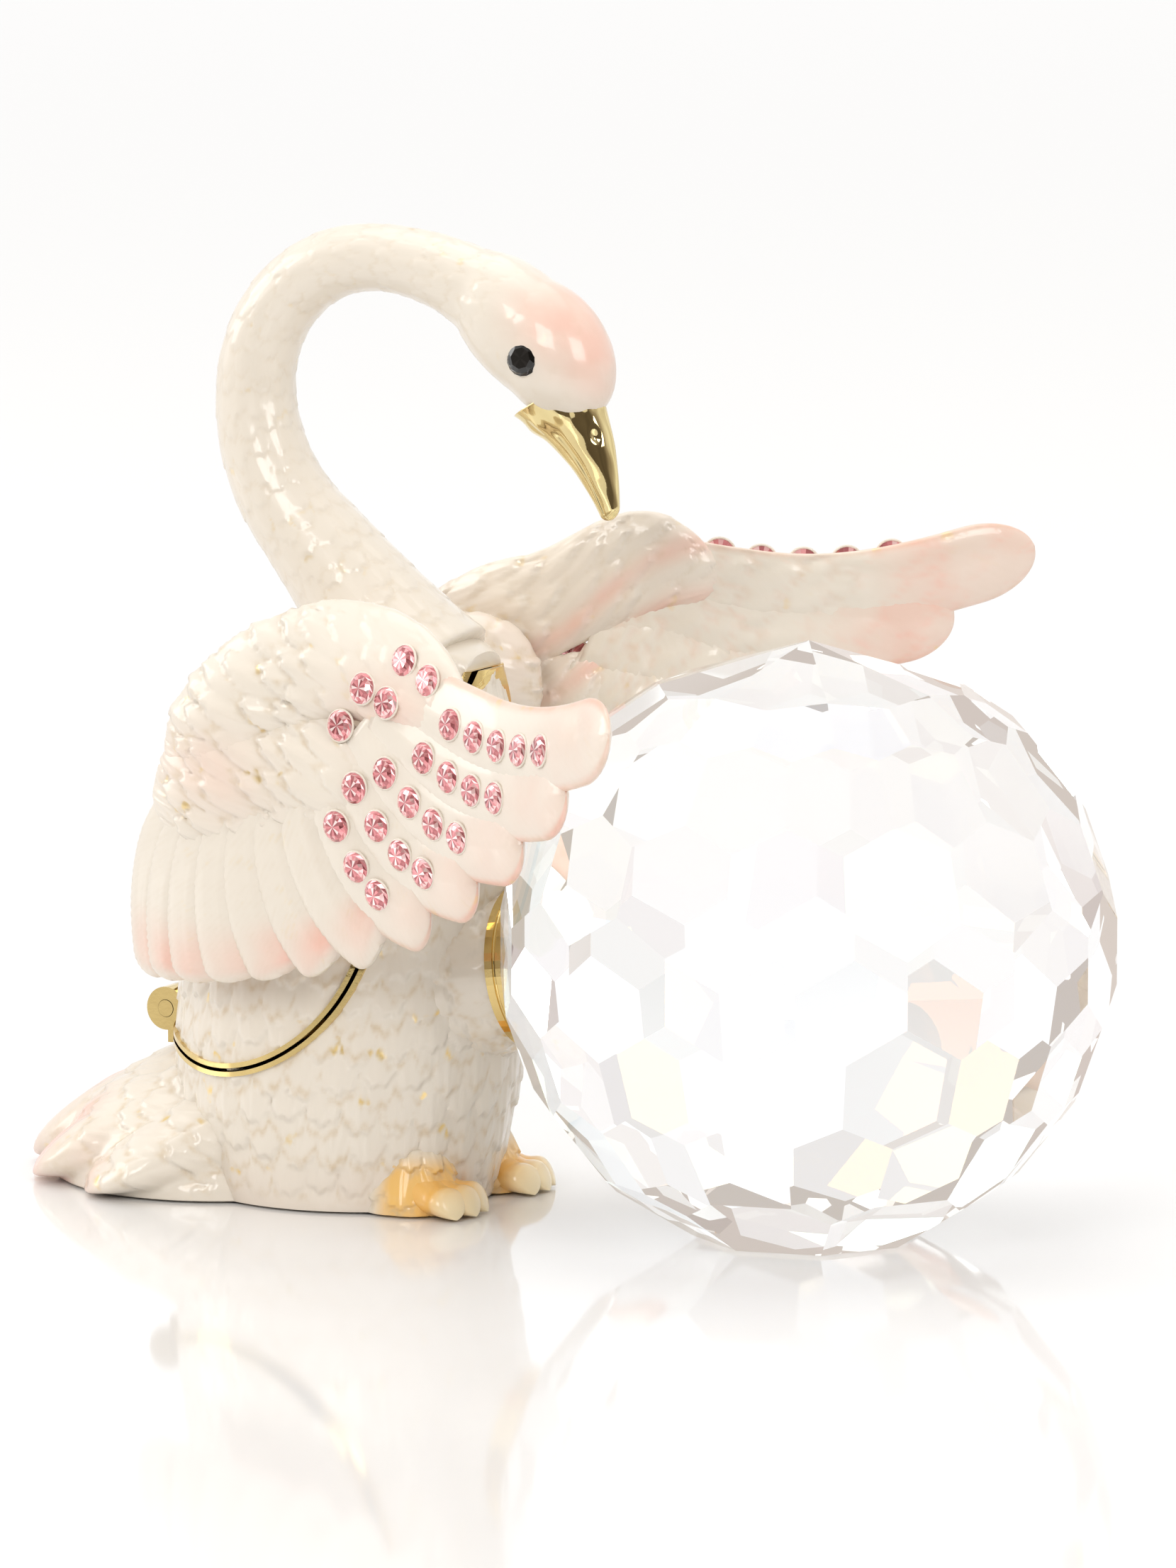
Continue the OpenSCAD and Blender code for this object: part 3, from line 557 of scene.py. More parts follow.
# The breast feathers rise round the back of the cup in a collar: a cone along the cup's own
# line, scalloped like the rest.
along, j = ring_grid(np.linspace(0, 4.6, 60), 150)
relief, hollow = scales(16 * j / (2 * np.pi), (9 - along) / 2.4)
r = 6.5 + 1.35 * along / 4.5 + (0.40 * relief - 0.30) * step(along / 0.8)
side_of, up_of = np.array([0, 1, 0]), np.cross(cup_way, [0, 1, 0])
ring = np.cos(j)[..., None] * side_of + np.sin(j)[..., None] * up_of
collar = tube((ball_mid + cup_way * (ball_r + 0.92 + along[..., None]) + r[..., None] * ring)[:, ::-1])
collar_mesh = mesh_of("breast_collar", [collar], {"hollow": with_ends(hollow), "blush": with_ends(0 * r)})
room = mesh_of("room", [tube(box_skin(*ring_grid(np.linspace(1.4, 34, 24), 72), -1.0))])
collar_mesh = cut(collar_mesh, [room], ["DIFFERENCE"])
show("breast_collar", collar_mesh, "base", [pearl])

# ---- Feet ----
# Two webbed feet under feathered cuffs, cast on under the breast. Amber enamel runs into the
# hollows between the toes and leaves their round tips pale.


def toe(k):
    """One toe: half-round rings along its length, swelling to a knuckle and a blunt round tip."""
    t, j = ring_grid(np.sin(np.linspace(0, np.pi / 2, 60)), 40)
    end = np.sqrt(np.clip(1 - (np.clip(t - 0.7, 0, 1) / 0.3) ** 2, 0.0004, 1))
    swell = 1 + 0.10 * np.sin(9.5 * t - 1.2)
    r = (1.75 - 0.25 * t) * end * swell
    h = (3.4 - 1.1 * t) * np.sqrt(np.clip(1 - (np.clip(t - 0.7, 0, 1) / 0.3) ** 2, 0.0004, 1)) * swell
    x, y = 0.5 + 6.1 * t, 1.12 * r * np.cos(j)
    up = h * (0.5 + 0.5 * np.sin(j))
    a = np.radians(20 * k)
    p = np.stack([x * np.cos(a) - y * np.sin(a), x * np.sin(a) + y * np.cos(a), up], -1)
    # painted shade: the toe's underside near the floor is darkened, short of the tip
    return p, with_ends(1.7 * step((1.1 - t) / 0.6) + 0 * j), with_ends(0.6 * step((1.0 - up) / 1.0)
        * step((0.9 - t) / 0.3))


def foot(side):
    """Three toes turned to the foot's direction and set at its place under the breast."""
    made = [toe(k) for k in (-1, 0, 1)]
    a = np.radians(6 * side)
    shells = []
    for p, _, _ in made:
        x, y = p[..., 0] * np.cos(a) - p[..., 1] * np.sin(a), p[..., 0] * np.sin(a) + p[..., 1] * np.cos(a)
        shells.append(tube(np.stack([x + 4.6, y + 5.6 * side, p[..., 2]], -1)))
    return shells, {"blush": np.concatenate([m[1] for m in made]),
        "hollow": np.concatenate([m[2] for m in made])}


amber = enamel("amber_enamel", (0.88, 0.76, 0.50, 1), (0.90, 0.52, 0.14, 1))
for side, part in ((-1, "right_foot"), (1, "left_foot")):
    shells, values = foot(side)
    piece = show("webbed_" + part, mesh_of("webbed_" + part, shells, values), "base", [amber], part)


def cuff(side):
    """A short cone round the leg, with two rows of ragged feathers: rings drawn in towards the top."""
    z, j = ring_grid(np.linspace(0, 5.6, 60), 120)
    relief, hollow = scales(9 * j / (2 * np.pi), (9 - z) / 2.2)
    r = (4.5 - 1.7 * (z / 5.6) ** 1.6) + 0.65 * relief - 0.5
    r = r * np.where(z > 5.3, 0.8, 1.0)
    p = np.stack([4.5 + r * np.cos(j), 5.4 * side + 0.9 * r * np.sin(j), z], -1)
    rosy = 1.5 * step((5.6 - z) / 3.0) * step((np.cos(j) + 0.45) / 0.6)
    return tube(p), with_ends(hollow), with_ends(rosy)


cuffs = [cuff(-1), cuff(1)]
cuff_mesh = mesh_of("cuffs", [c[0] for c in cuffs],
    {"hollow": np.concatenate([c[1] for c in cuffs]), "blush": np.concatenate([c[2] for c in cuffs])})
show("leg_cuffs", cuff_mesh, "base", [enamel("cuff_enamel", (0.80, 0.735, 0.62, 1),
    (0.90, 0.55, 0.16, 1))])

# ---- Rims, hinge and cup ----
# Strips of plated brass along both edges of the opening, a small hinge with three knuckles
# on a plain pin, and the dished cup that is glued to the ball. All are polished and plated.

trim_gold = gold("trim_gold", (0.80, 0.62, 0.27, 1))
band_z, band_angle = ring_grid(np.linspace(1.0, body_height * 1.0, 110), 300)
band_out, band_in = tube(box_skin(band_z, band_angle, 0.2)), tube(box_skin(band_z[:, ::3],
    band_angle[:, ::3], -1.5))
band = mesh_of("band", [band_out, (band_in[0], band_in[1][:, ::-1], band_in[2][:, ::-1])])
hinge_block = mesh_of("hinge_block", [tube(np.array([[[hinge_x + x, y, hinge_z + z] for x,
    y in ((-3, -3.5), (2.4, -3.5), (2.4, 3.5), (-3, 3.5))] for z in (-5, 5)], float))])
for part, body, far_side, near_side in (
    ("base_rim", "base", seam_gap / 2 + rim_high, seam_gap / 2),
    ("lid_rim", "lid", -seam_gap / 2, -seam_gap / 2 - rim_high),
):
    strip = cut(band, [prism("outer_side", opening(far_side)), prism("inner_side", opening(near_side)),
        hinge_block], ["INTERSECT", "DIFFERENCE", "DIFFERENCE"])
    strip.polygons.foreach_set("use_smooth", np.ones(len(strip.polygons), bool))
    strip.set_sharp_from_angle(angle=np.radians(35))
    show("gilt_" + part, strip, body, [trim_gold], part)
for part in ("hinge_base_leaf", "hinge_lid_leaf", "hinge_pin", "ball_cup"):
    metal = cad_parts[part].data
    metal.materials.clear()
    metal.materials.append(trim_gold)
magnet_steel = bpy.data.materials.new("magnet_nickel")
tree, put = nodes_of(magnet_steel)
scratch = put("TexNoise", {"Vector": (put("TexCoord"), "Object"), "Scale": 900.0,
    "Detail": 4.0})
worn = put("MapRange", {"Value": (scratch, "Fac"), "To Min": 0.15, "To Max": 0.45})
nickel = put("BsdfPrincipled", {"Base Color": (0.62, 0.61, 0.60, 1), "Metallic": 1.0,
    "Roughness": (worn, "Result")})
put("OutputMaterial", {"Surface": (nickel, "BSDF")})
for part in ("base_magnet", "lid_magnet"):
    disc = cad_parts[part].data
    disc.materials.clear()
    disc.materials.append(magnet_steel)

# ---- Lid casting ----
# The back of the swan, cast like the base. It carries the neck and both wings.

lid_mesh = cut(whole_box, [prism("lid_part", opening(-seam_gap / 2 - rim_high)), hinge_room],
    ["INTERSECT", "DIFFERENCE"])
paint_box(lid_mesh)
lid_casting = show("lid_casting", lid_mesh, "lid", [pearl, plate], "lid_shell")

# ---- Crystal ball ----
# A solid ball of clear cut glass: rows of flat polished facets between a pointed crown of
# eight and one flat facet that it stands on. The breast cup is glued to its side.

facet_rows = [(34, 0), (52, 0.5), (71, 0), (90, 0.5), (109, 0), (128, 0.5)]


def facet_planes():
    """Unit normals and distances of all facets, row by row, from polar angle and turn."""
    rows = [(polar, (np.arange(16) + off) * 22.5, ball_r * 0.966) for polar, off in facet_rows]
    rows.append((17, (np.arange(8) * 2 + 0.5) * 22.5, (ball_r - 0.4) * np.cos(np.radians(17))))
    rows.append((147, (np.arange(8) * 2 + 0.5) * 22.5, ball_r * 0.966))
    rows.append((180, np.array([0.0]), ball_z))
    n = np.concatenate([
        np.stack([np.sin(np.radians(p)) * np.cos(np.radians(a)),
            np.sin(np.radians(p)) * np.sin(np.radians(a)), np.cos(np.radians(p)) + 0 * a], -1)
        for p, a, _ in rows
    ])
    return n, np.concatenate([np.full(len(a), d) for _, a, d in rows])


def cut_solid(normals, distances):
    """The solid inside a set of planes. Its corners come from the hull of the planes' poles:
    each face of that hull is three planes that meet in one corner."""
    poles = bmesh.new()
    for pole in normals / distances[:, None]:
        poles.verts.new(pole)
    poles.verts.index_update()
    bmesh.ops.convex_hull(poles, input=poles.verts)
    corners = []
    for face in poles.faces:
        m = np.array([v.co for v in face.verts])
        corners.append(np.linalg.solve(m, np.ones(3)))
    poles.free()
    solid = bmesh.new()
    for corner in np.unique(np.round(corners, 5), axis=0):
        solid.verts.new(corner)
    bmesh.ops.remove_doubles(solid, verts=solid.verts, dist=0.002)
    bmesh.ops.convex_hull(solid, input=solid.verts)
    bmesh.ops.dissolve_limit(solid, angle_limit=np.radians(0.3), verts=solid.verts, edges=solid.edges)
    bmesh.ops.recalc_face_normals(solid, faces=solid.faces)
    return solid


ball_solid = cut_solid(*facet_planes())
for v in ball_solid.verts:
    v.co = (Vector(v.co) + Vector(ball_mid)) * mm
ball_mesh = bpy.data.meshes.new("cut_ball")
ball_solid.to_mesh(ball_mesh)
ball_solid.free()
cut_glass = bpy.data.materials.new("cut_glass")
tree, put = nodes_of(cut_glass)
where = put("TexCoord")
veil = put("TexNoise", {"Vector": (where, "Object"), "Scale": 60.0, "Detail": 2.0})
polish = put("MapRange", {"Value": (veil, "Fac"), "To Min": 0.0, "To Max": 0.004})
# painted glow: where light turns inside the ball more often than is followed, the glass glows a warm light
# grey
turns = put("LightPath")
painted_glow = put("MapRange", {"Value": (turns, "Ray Depth"), "From Min": 4.0, "From Max": 5.0,
    "To Min": 0.0, "To Max": 0.30})
clear = put(
    "BsdfPrincipled",
    {"Base Color": (1, 1, 1, 1), "Roughness": (polish, "Result"), "IOR": 1.47, "Transmission Weight": 1.0,
     "Thin Film Thickness": 420.0, "Thin Film IOR": 1.30, "Emission Color": (1.0, 0.90, 0.80,
         1), "Emission Strength": (painted_glow, "Result")},
)
put("OutputMaterial", {"Surface": (clear, "BSDF")})
ball = show("cut_crystal_ball", ball_mesh, "base", [cut_glass], "crystal_ball")

# ---- Neck and head ----
# One hollow casting soldered into the top of the lid. The neck swings back, over and down to
# the head. Fine rows of down are cast all over it, and the forehead is tinted rose.

neck_r, neck_root_r = 2.9, 6.6
neck_start, neck_way, neck_run = np.array([3.05, body_height - 1.4]), 133.0, 17.0
back_bend, top_bend, head_bend, head_turn = 15.5, 11.3, 20.6, 40.0
first_turn = neck_way - 90


def heading(degrees):
    """Unit vectors in X and Z for headings in degrees."""
    return np.stack([np.cos(np.radians(degrees)), np.sin(np.radians(degrees))], -1)


def bend(start, way, radius, turned):
    """Points of a circular arc that starts at start in direction way and turns clockwise."""
    return start + radius * heading(way - 90) - radius * heading(way - 90 - turned)


def neck_line(n):
    """Middle line, heading and half thickness: a straight root, a long bend, a tight bend, a last bend."""
    f = np.linspace(0, 1, n)[:-1]
    p1 = neck_start + neck_run * heading(neck_way)
    p2 = bend(p1, neck_way, back_bend, first_turn)
    p3 = bend(p2, 90, top_bend, 90.0)
    line = np.concatenate([
        neck_start + (f * neck_run)[:, None] * heading(neck_way), bend(p1, neck_way, back_bend,
            f * first_turn),
        bend(p2, 90, top_bend, f * 90), bend(p3, 0, head_bend, f * head_turn)])
    way = np.concatenate([neck_way + 0 * f, neck_way - f * first_turn, 90 - f * 90, -f * head_turn])
    r = np.concatenate([
        neck_root_r + (neck_r * 1.38 - neck_root_r) * f**0.7, neck_r * (1.38 - 0.24 * f),
        neck_r * (1.14 - 0.18 * f), neck_r * (0.96 + 0.49 * f**2)])
    return line, way, r, p3 + [16.2, -6.8]


line, way, half_neck, head_mid = neck_line(60)
j = np.arange(64) * 2 * np.pi / 64
up = np.stack([-np.sin(np.radians(way)), np.cos(np.radians(way))], -1)
rise_ = half_neck[:, None] * np.sin(j)
narrow = half_neck * (1 - 0.14 * np.clip(np.arange(len(line)) / len(line) * 4 - 3, 0, 1) ** 2)
neck_rings = np.stack([line[:, :1] + up[:, :1] * rise_, narrow[:, None] * np.cos(j),
    line[:, 1:] + up[:, 1:] * rise_], -1)

neck_mesh = fused("neck_blank", [tube(neck_rings),
    rounded((head_mid[0], 0, head_mid[1]), (6.5, 4.2, 4.7), 52),
                                rounded((head_mid[0] - 2.6, 0, head_mid[1] + 1.6), (7.8, 4.2, 4.55),
                                    42)], 0.2, 50)
co, normal = points_of(neck_mesh)
near = ((co[:, None, ::2] - line[None]) ** 2).sum(-1).argmin(1)
along = np.concatenate([[0], np.cumsum(np.hypot(*np.diff(line, axis=0).T))])[near]
along = along + ((co[:, ::2] - line[near]) * heading(way[near])).sum(-1)
around = np.arctan2(((co[:, ::2] - line[near]) * up[near]).sum(-1), co[:, 1])
down_relief, down_hollow = scales(around / (2 * np.pi) * 13, (100 - along) / 1.9)
fore = np.hypot(np.hypot(co[:, 0] - head_mid[0], co[:, 1]), co[:, 2] - head_mid[1])
plain = 1 - 0.72 * step((9 - fore) / 4)
crown = np.clip(((co[:, 0] - head_mid[0] - 1) * 5 - (co[:, 2] - head_mid[1] - 3.5) * 4.5) / 45.25, 0, 1)
off = np.hypot(co[:, 0] - head_mid[0] - 1 - 5 * crown, co[:, 2] - head_mid[1] - 3.5 + 4.5 * crown)
# painted shade in the hollows of the down, weaker on the face
carve(neck_mesh, co, normal, (0.15 * down_relief - 0.11) * plain,
      hollow=down_hollow * plain * 0.35, blush=0.85 * np.exp(-((off / 2.7) ** 2)))
seam_foot = seam_mid + (seam_r - seam_gap / 2 - 0.1) * seam_out
seam_end = seam_foot + seam_up * 30
ahead = prism("ahead_of_seam", np.array([seam_foot, [30, seam_foot[1]], [30, seam_end[1]], seam_end])[::-1])
neck_mesh = cut(neck_mesh, [ahead], ["DIFFERENCE"])
neck = show("swan_neck_and_head", neck_mesh, "lid", [pearl], "neck_and_head")

# ---- Beak ----
# A solid little casting pressed into the face, polished and plated bright, with a line
# between the two halves of the bill and a lumpy collar where it meets the feathers.

t, j = ring_grid(np.linspace(0, 1, 130), 96)
r = 3.9 + (0.75 - 3.9) * t**0.85
r = r * np.sqrt(np.clip(1 - (np.clip(t - 0.94, 0, 1) / 0.06) ** 2, 0.01, 1))
collar = np.exp(-(((t - 0.16) / 0.07) ** 2)) * (0.16 + 0.08 * np.sin(9 * j) + 0.05 * np.sin(17 * j + 1))
mouth = -0.34 * (np.exp(-(((j - np.pi * 1.10) / 0.09) ** 2))
    + np.exp(-(((j - np.pi * 1.90) / 0.09) ** 2))) * step((t - 0.22) / 0.08) * (1 - 0.6 * t)
nostril = -0.30 * np.exp(-(((t - 0.42) / 0.05) ** 2)) * (np.exp(-(((j - np.pi * 0.75) / 0.16) ** 2))
    + np.exp(-(((j - np.pi * 0.25) / 0.16) ** 2)))
dents = 0.02 * np.sin(7 * j + 9 * t) * np.sin(13 * t + 2)
r = r + collar + mouth + nostril + dents
x, y, z = -1.5 + 11.0 * t, 0.75 * r * np.cos(j), r * np.sin(j) + 0.8 * np.sin(np.pi * t)
c, s = np.cos(np.radians(62)), np.sin(np.radians(62))
bill = np.stack([head_mid[0] + 1 + x * c + z * s, y, head_mid[1] - 5 - x * s + z * c], -1)
bright_gold = gold("bright_gold", (0.80, 0.68, 0.36, 1), 0.02, 0.05)
beak_piece = show("golden_beak", mesh_of("golden_beak", [tube(bill[:, ::-1])]), "lid", [bright_gold],
    "beak")

# ---- Cut stones ----
# Small round stones of foiled glass, each held by a thin raised lip of enamel: two black ones
# for the eyes, and pink ones along the five front feathers and the shoulder of each wing.


def stone_rings(d):
    """Rings of a round brilliant, from the culet to the table, with 16 points each. The crown's
    rings are turned by half a step to give kites and triangles."""
    a = np.arange(16) * np.pi / 8
    half = a + np.pi / 16
    rows = [(0.03, -0.42, a), (0.5, -0.04, a), (0.5, 0.02, a), (0.42, 0.105, half), (0.30, 0.17, a)]
    p = np.stack([np.stack([d * r * np.cos(w), d * r * np.sin(w), d * z + 0 * w], -1) for r, z, w in rows])
    # the table and the kites are octagonal: every second point is drawn in
    p[4, 1::2, :2] *= np.cos(np.pi / 8)
    return p


def stone_shell(place, spin, d):
    """One stone as triangles, with a painted lightness for each facet that stands in for its sparkle:
    the star seen through the table is painted light and dark. place is a matrix whose columns are its axes
    and its middle."""
    p = stone_rings(d)
    local = np.concatenate([p.reshape(-1, 3), [[0, 0, -0.42 * d], [0, 0, 0.172 * d]]])
    c, s = np.cos(spin), np.sin(spin)
    local = local @ np.array([[c, s, 0], [-s, c, 0], [0, 0, 1]])
    i, k = np.meshgrid(np.arange(4), np.arange(16), indexing="ij")
    a, b = i * 16 + k, i * 16 + (k + 1) % 16
    tris = np.concatenate([np.stack([a, b, b + 16], -1).reshape(-1, 3),
        np.stack([a, b + 16, a + 16], -1).reshape(-1, 3)])
    k = np.arange(16)
    tris = np.concatenate([tris, np.stack([(k + 1) % 16, k, 0 * k + 80], -1),
        np.stack([64 + k, 64 + (k + 1) % 16, 0 * k + 81], -1)])
    # painted sparkle: each facet gets a random lightness, and the table's star is painted light and dark
    facet = np.random.default_rng(int(spin * 1000) % 9973).uniform(0.15, 0.85, len(tris))
    facet[-16:] = np.where(k % 4 == 0, 1.0, np.where(k % 2 == 0, 0.45, facet[-16:] * 0.45))
    return local @ place[:3, :3].T + place[:3, 3], tris, facet


def stone_mesh(name, places, d):
    """All stones of one group as flat-faced triangles, with each facet's painted lightness on the faces."""
    made = [stone_shell(p, 0.7 + 1.9 * n, d) for n, p in enumerate(places)]
    mesh = bpy.data.meshes.new(name)
    start = np.arange(len(made)) * len(made[0][0])
    mesh.from_pydata((np.concatenate([m[0] for m in made]) * mm).tolist(), [],
        np.concatenate([m[1] + b for m, b in zip(made, start)]).tolist())
    mesh.attributes.new("facet", "FLOAT", "FACE").data.foreach_set("value",
        np.concatenate([m[2] for m in made]).astype(np.float32))
    return mesh


def painted_sparkle_glass(name, dark, middle, light):
    """Glass with painted sparkle: each facet takes its own painted tone from dark to light, in place of the
    foil's reflections, under a hard clear coat.
    """
    material = bpy.data.materials.new(name)
    tree, put = nodes_of(material)
    facet = put("Attribute", attribute_name="facet")
    sparkle_tone = put("ValToRGB", {"Fac": (facet, "Fac")})
    sparkle_tone.color_ramp.elements[0].position, sparkle_tone.color_ramp.elements[0].color = 0.1, dark
    sparkle_tone.color_ramp.elements[1].position, sparkle_tone.color_ramp.elements[1].color = 0.9, light
    sparkle_tone.color_ramp.elements.new(0.5).color = middle
    cloud = put("TexNoise", {"Vector": (put("TexCoord"), "Object"), "Scale": 1600.0,
        "Detail": 2.0})
    haze = put("MapRange", {"Value": (cloud, "Fac"), "To Min": 0.02, "To Max": 0.14})
    surface = put(
        "BsdfPrincipled",
        {"Base Color": (sparkle_tone, "Color"), "Metallic": 0.55, "Roughness": (haze, "Result"), "Coat Weight": 1.0,
            "Coat Roughness": 0.02},
    )
    put("OutputMaterial", {"Surface": (surface, "BSDF")})
    return material


# the stones' facets are painted from dark to light tones as their sparkle
jet = painted_sparkle_glass("jet_stone", (0.001, 0.001, 0.001, 1), (0.002, 0.002, 0.002, 1), (0.012, 0.011, 0.011, 1))
rose = painted_sparkle_glass("rose_stone", (0.30, 0.06, 0.07, 1), (0.85, 0.30, 0.32, 1), (1.0, 0.80, 0.78, 1))


def turned(about_z, about_x, place):
    """A place matrix: turned about X, then about Z, then moved. Angles in radians."""
    c, s, cx, sx = np.cos(about_z), np.sin(about_z), np.cos(about_x), np.sin(about_x)
    m = np.eye(4)
    m[:3, :3] = np.array([[c, -s, 0], [s, c, 0], [0, 0, 1]]) @ np.array([[1, 0, 0], [0, cx, -sx],
        [0, sx, cx]])
    m[:3, 3] = place
    return m


def cup_rings(places, d):
    """A thin raised lip about each stone's girdle: a ring round each place's third axis."""
    shells = []
    i, j = ring_grid(np.arange(28) * 2 * np.pi / 28, 8)
    r = d / 2 + 0.02 + 0.11 * np.cos(j)
    ring = np.stack([r * np.cos(i), r * np.sin(i), -0.08 + 0.11 * np.sin(j)], -1)
    n, m = ring.shape[:2]
    a, b = np.meshgrid(np.arange(n), np.arange(m), indexing="ij")
    quads = np.stack([a * m + b, (a + 1) % n * m + b, (a + 1) % n * m + (b + 1) % m, a * m + (b + 1) % m],
        -1).reshape(-1, 4)
    for place in places:
        shells.append((ring.reshape(-1, 3) @ place[:3, :3].T + place[:3, 3], quads, np.zeros((0, 3), int)))
    return shells


# the black eye stone is drawn larger than the real stone, its dark edge standing in for the shadow in the
# recess round it
eye_and_shadow_d = 2.9
for side, part in ((-1, "right_eye"), (1, "left_eye")):
    place = [turned(0, np.radians(-83 * side), (head_mid[0] - 0.6, 3.85 * side, head_mid[1] - 0.3))]
    show("cut_" + part, stone_mesh("cut_" + part, place, eye_and_shadow_d), "lid", [jet], part)
    show(part + "_rim", mesh_of(part + "_rim", cup_rings(place, eye_and_shadow_d - 0.1)), "lid", [pearl])

# ---- Wings ----
# Each wing is one thin casting soldered to a shoulder of the lid: twelve long feathers under
# two padded rows of coverts. The five front feathers are round fingers that carry the stones.

feathers, wing_reach, wing_side, wing_flare, left_raise = 12, 41.0, 16.5, 20.5, 6.0
feather_t, feather_w, stone_d, stone_pitch = 0.95, 3.3, 2.5, 3.1


def sheet_slope(s):
    """How fast the wing's sheet leaves the body, against s."""
    return np.where(s > -3, wing_flare * 2.2 / (wing_reach + 3) * (np.clip(s + 3, 0,
        None) / (wing_reach + 3)) ** 1.2, 6.4 * (-3 - s) / 144)


def sheet(s, z, w, left):
    """Places on the wing's curved sheet: s forwards, z up, w out along its normal."""
    y = wing_side + np.where(s > -3, wing_flare * (np.clip(s + 3, 0, None) / (wing_reach + 3)) ** 2.2,
        -3.2 * ((-3 - s) / 12) ** 2)
    y = y + 1.8 * (1 - np.minimum(2.2, ((z - 33) / 15) ** 2))
    m = sheet_slope(s)
    n = np.sqrt(1 + m * m)
    return np.stack([s - w * m / n, -y - w / n, z + (left_raise * step((s - 3) / 13) if left else 0)], -1)


def feather_line(i, t, left):
    """Middle line of feather i: from its root to its tip, sagging between them."""
    k = (feathers - i) / (feathers - 1)
    tip = np.array([-14 + (wing_reach - 0.5 + 14) * k ** (1.1 if left else 1.35),
        18.8 + 26.8 * k ** (2.3 if left else 2.6)])
    root = np.array([-10.5 + 22.5 * k, 34 + 11 * k * k])
    t = np.asarray(t, float)[..., None]
    sag = np.sin(np.pi * t) * np.array([-1.5 * (1 - k), -3.2 * min(1, 1.6 * k)])
    return root + (tip - root) * t + sag, k, np.hypot(*(tip - root))


def feather_shell(i, left):
    """One feather: rounded rings across its middle line, with a raised shaft, barbs that run out
    and towards the tip, and a blunt round end."""
    t, j = ring_grid(np.sin(np.linspace(0, np.pi / 2, 76)), 48)
    p, k, long = feather_line(i, t, left)
    q = feather_line(i, t + 0.01, left)[0] - feather_line(i, t - 0.01, left)[0]
    m = sheet_slope(p[..., 0])
    slant = np.sqrt(1 + m * m)
    across_s, q_len = q[..., 0] * slant, np.hypot(q[..., 0] * slant, q[..., 1])
    end = np.clip(t - 0.86, 0, 1) / 0.14
    half = (2.7 + (feather_w - 2.7) * min(1, 1.5 * k)) * (0.85 + 0.15
        * step(3 * t)) * np.sqrt(np.clip(1 - end**2, 0.003, 1))
    thick = feather_t * np.sqrt(np.clip(1 - end**2, 0.02, 1))
    c, s = np.cos(j), np.sin(j)
    face = np.sign(s) * np.sqrt(np.abs(s))
    finger = i <= 5
    barbs = np.sin(2 * np.pi * (t * long - 1.5 * np.abs(c) * half * 0.6) / (0.85 if finger
        else 0.7) + 1.3 * np.sin(3 * t + i))
    shaft = np.exp(-((c / 0.10) ** 2))
    rib = (0.025 if finger else 0.035) * barbs * (1 - shaft) * step((1 - t) / 0.06) + (0.04 if finger
        else 0.10) * shaft
    w = -0.5 + 1.05 * k + 0.35 * t + thick * (s if finger
        else 0.35 * s + 0.65 * face * np.abs(s) ** 0.3) + rib * np.sign(s) * (np.abs(s) > 0.2)
    w = w if finger else w - 0.30 * c * step(4 * t)
    a = half * c
    s_at, z_at = p[..., 0] - a * q[..., 1] / q_len / slant, p[..., 1] + a * across_s / q_len
    inner_relief, inner_hollow = scales((z_at - 0.3 * s_at) / 2.3, (s_at + 0.4 * (50 - z_at) + 30) / 2.6)
    if left:
        inner = (s < -0.2) * step((0.70 - t) / 0.25) * step((np.abs(s) - 0.2) / 0.3)
        w = w - 0.55 * (inner_relief - 0.8) * inner
    shell = tube(sheet(s_at, z_at, w, left))
    # painted shade in the grooves between feathers and the troughs between barbs
    groove = np.exp(-(((np.abs(c) - 0.96) / 0.09) ** 2))
    hollow = np.clip(-barbs, 0, 1) * (0.08 if finger else 0.16) + 0.45 * groove
    tip_rose = step((t - 0.52) / 0.34) * (1.1 - 0.25 * c**2)
    pale_end = 1 - 0.75 * step((t - 0.90) / 0.08)
    blush = tip_rose * (0.30 if finger else (0.75 + 0.6 * c) * pale_end) + (0.8 * groove if finger else 0)
    if left:
        blush = np.where(s < 0, 0.6 * step((t - 0.55) / 0.3) + 0.4 * groove + 0.25 * inner_hollow, blush)
        hollow = np.maximum(hollow, 0.45 * inner_hollow * inner)
    return shell, with_ends(hollow), with_ends(blush)


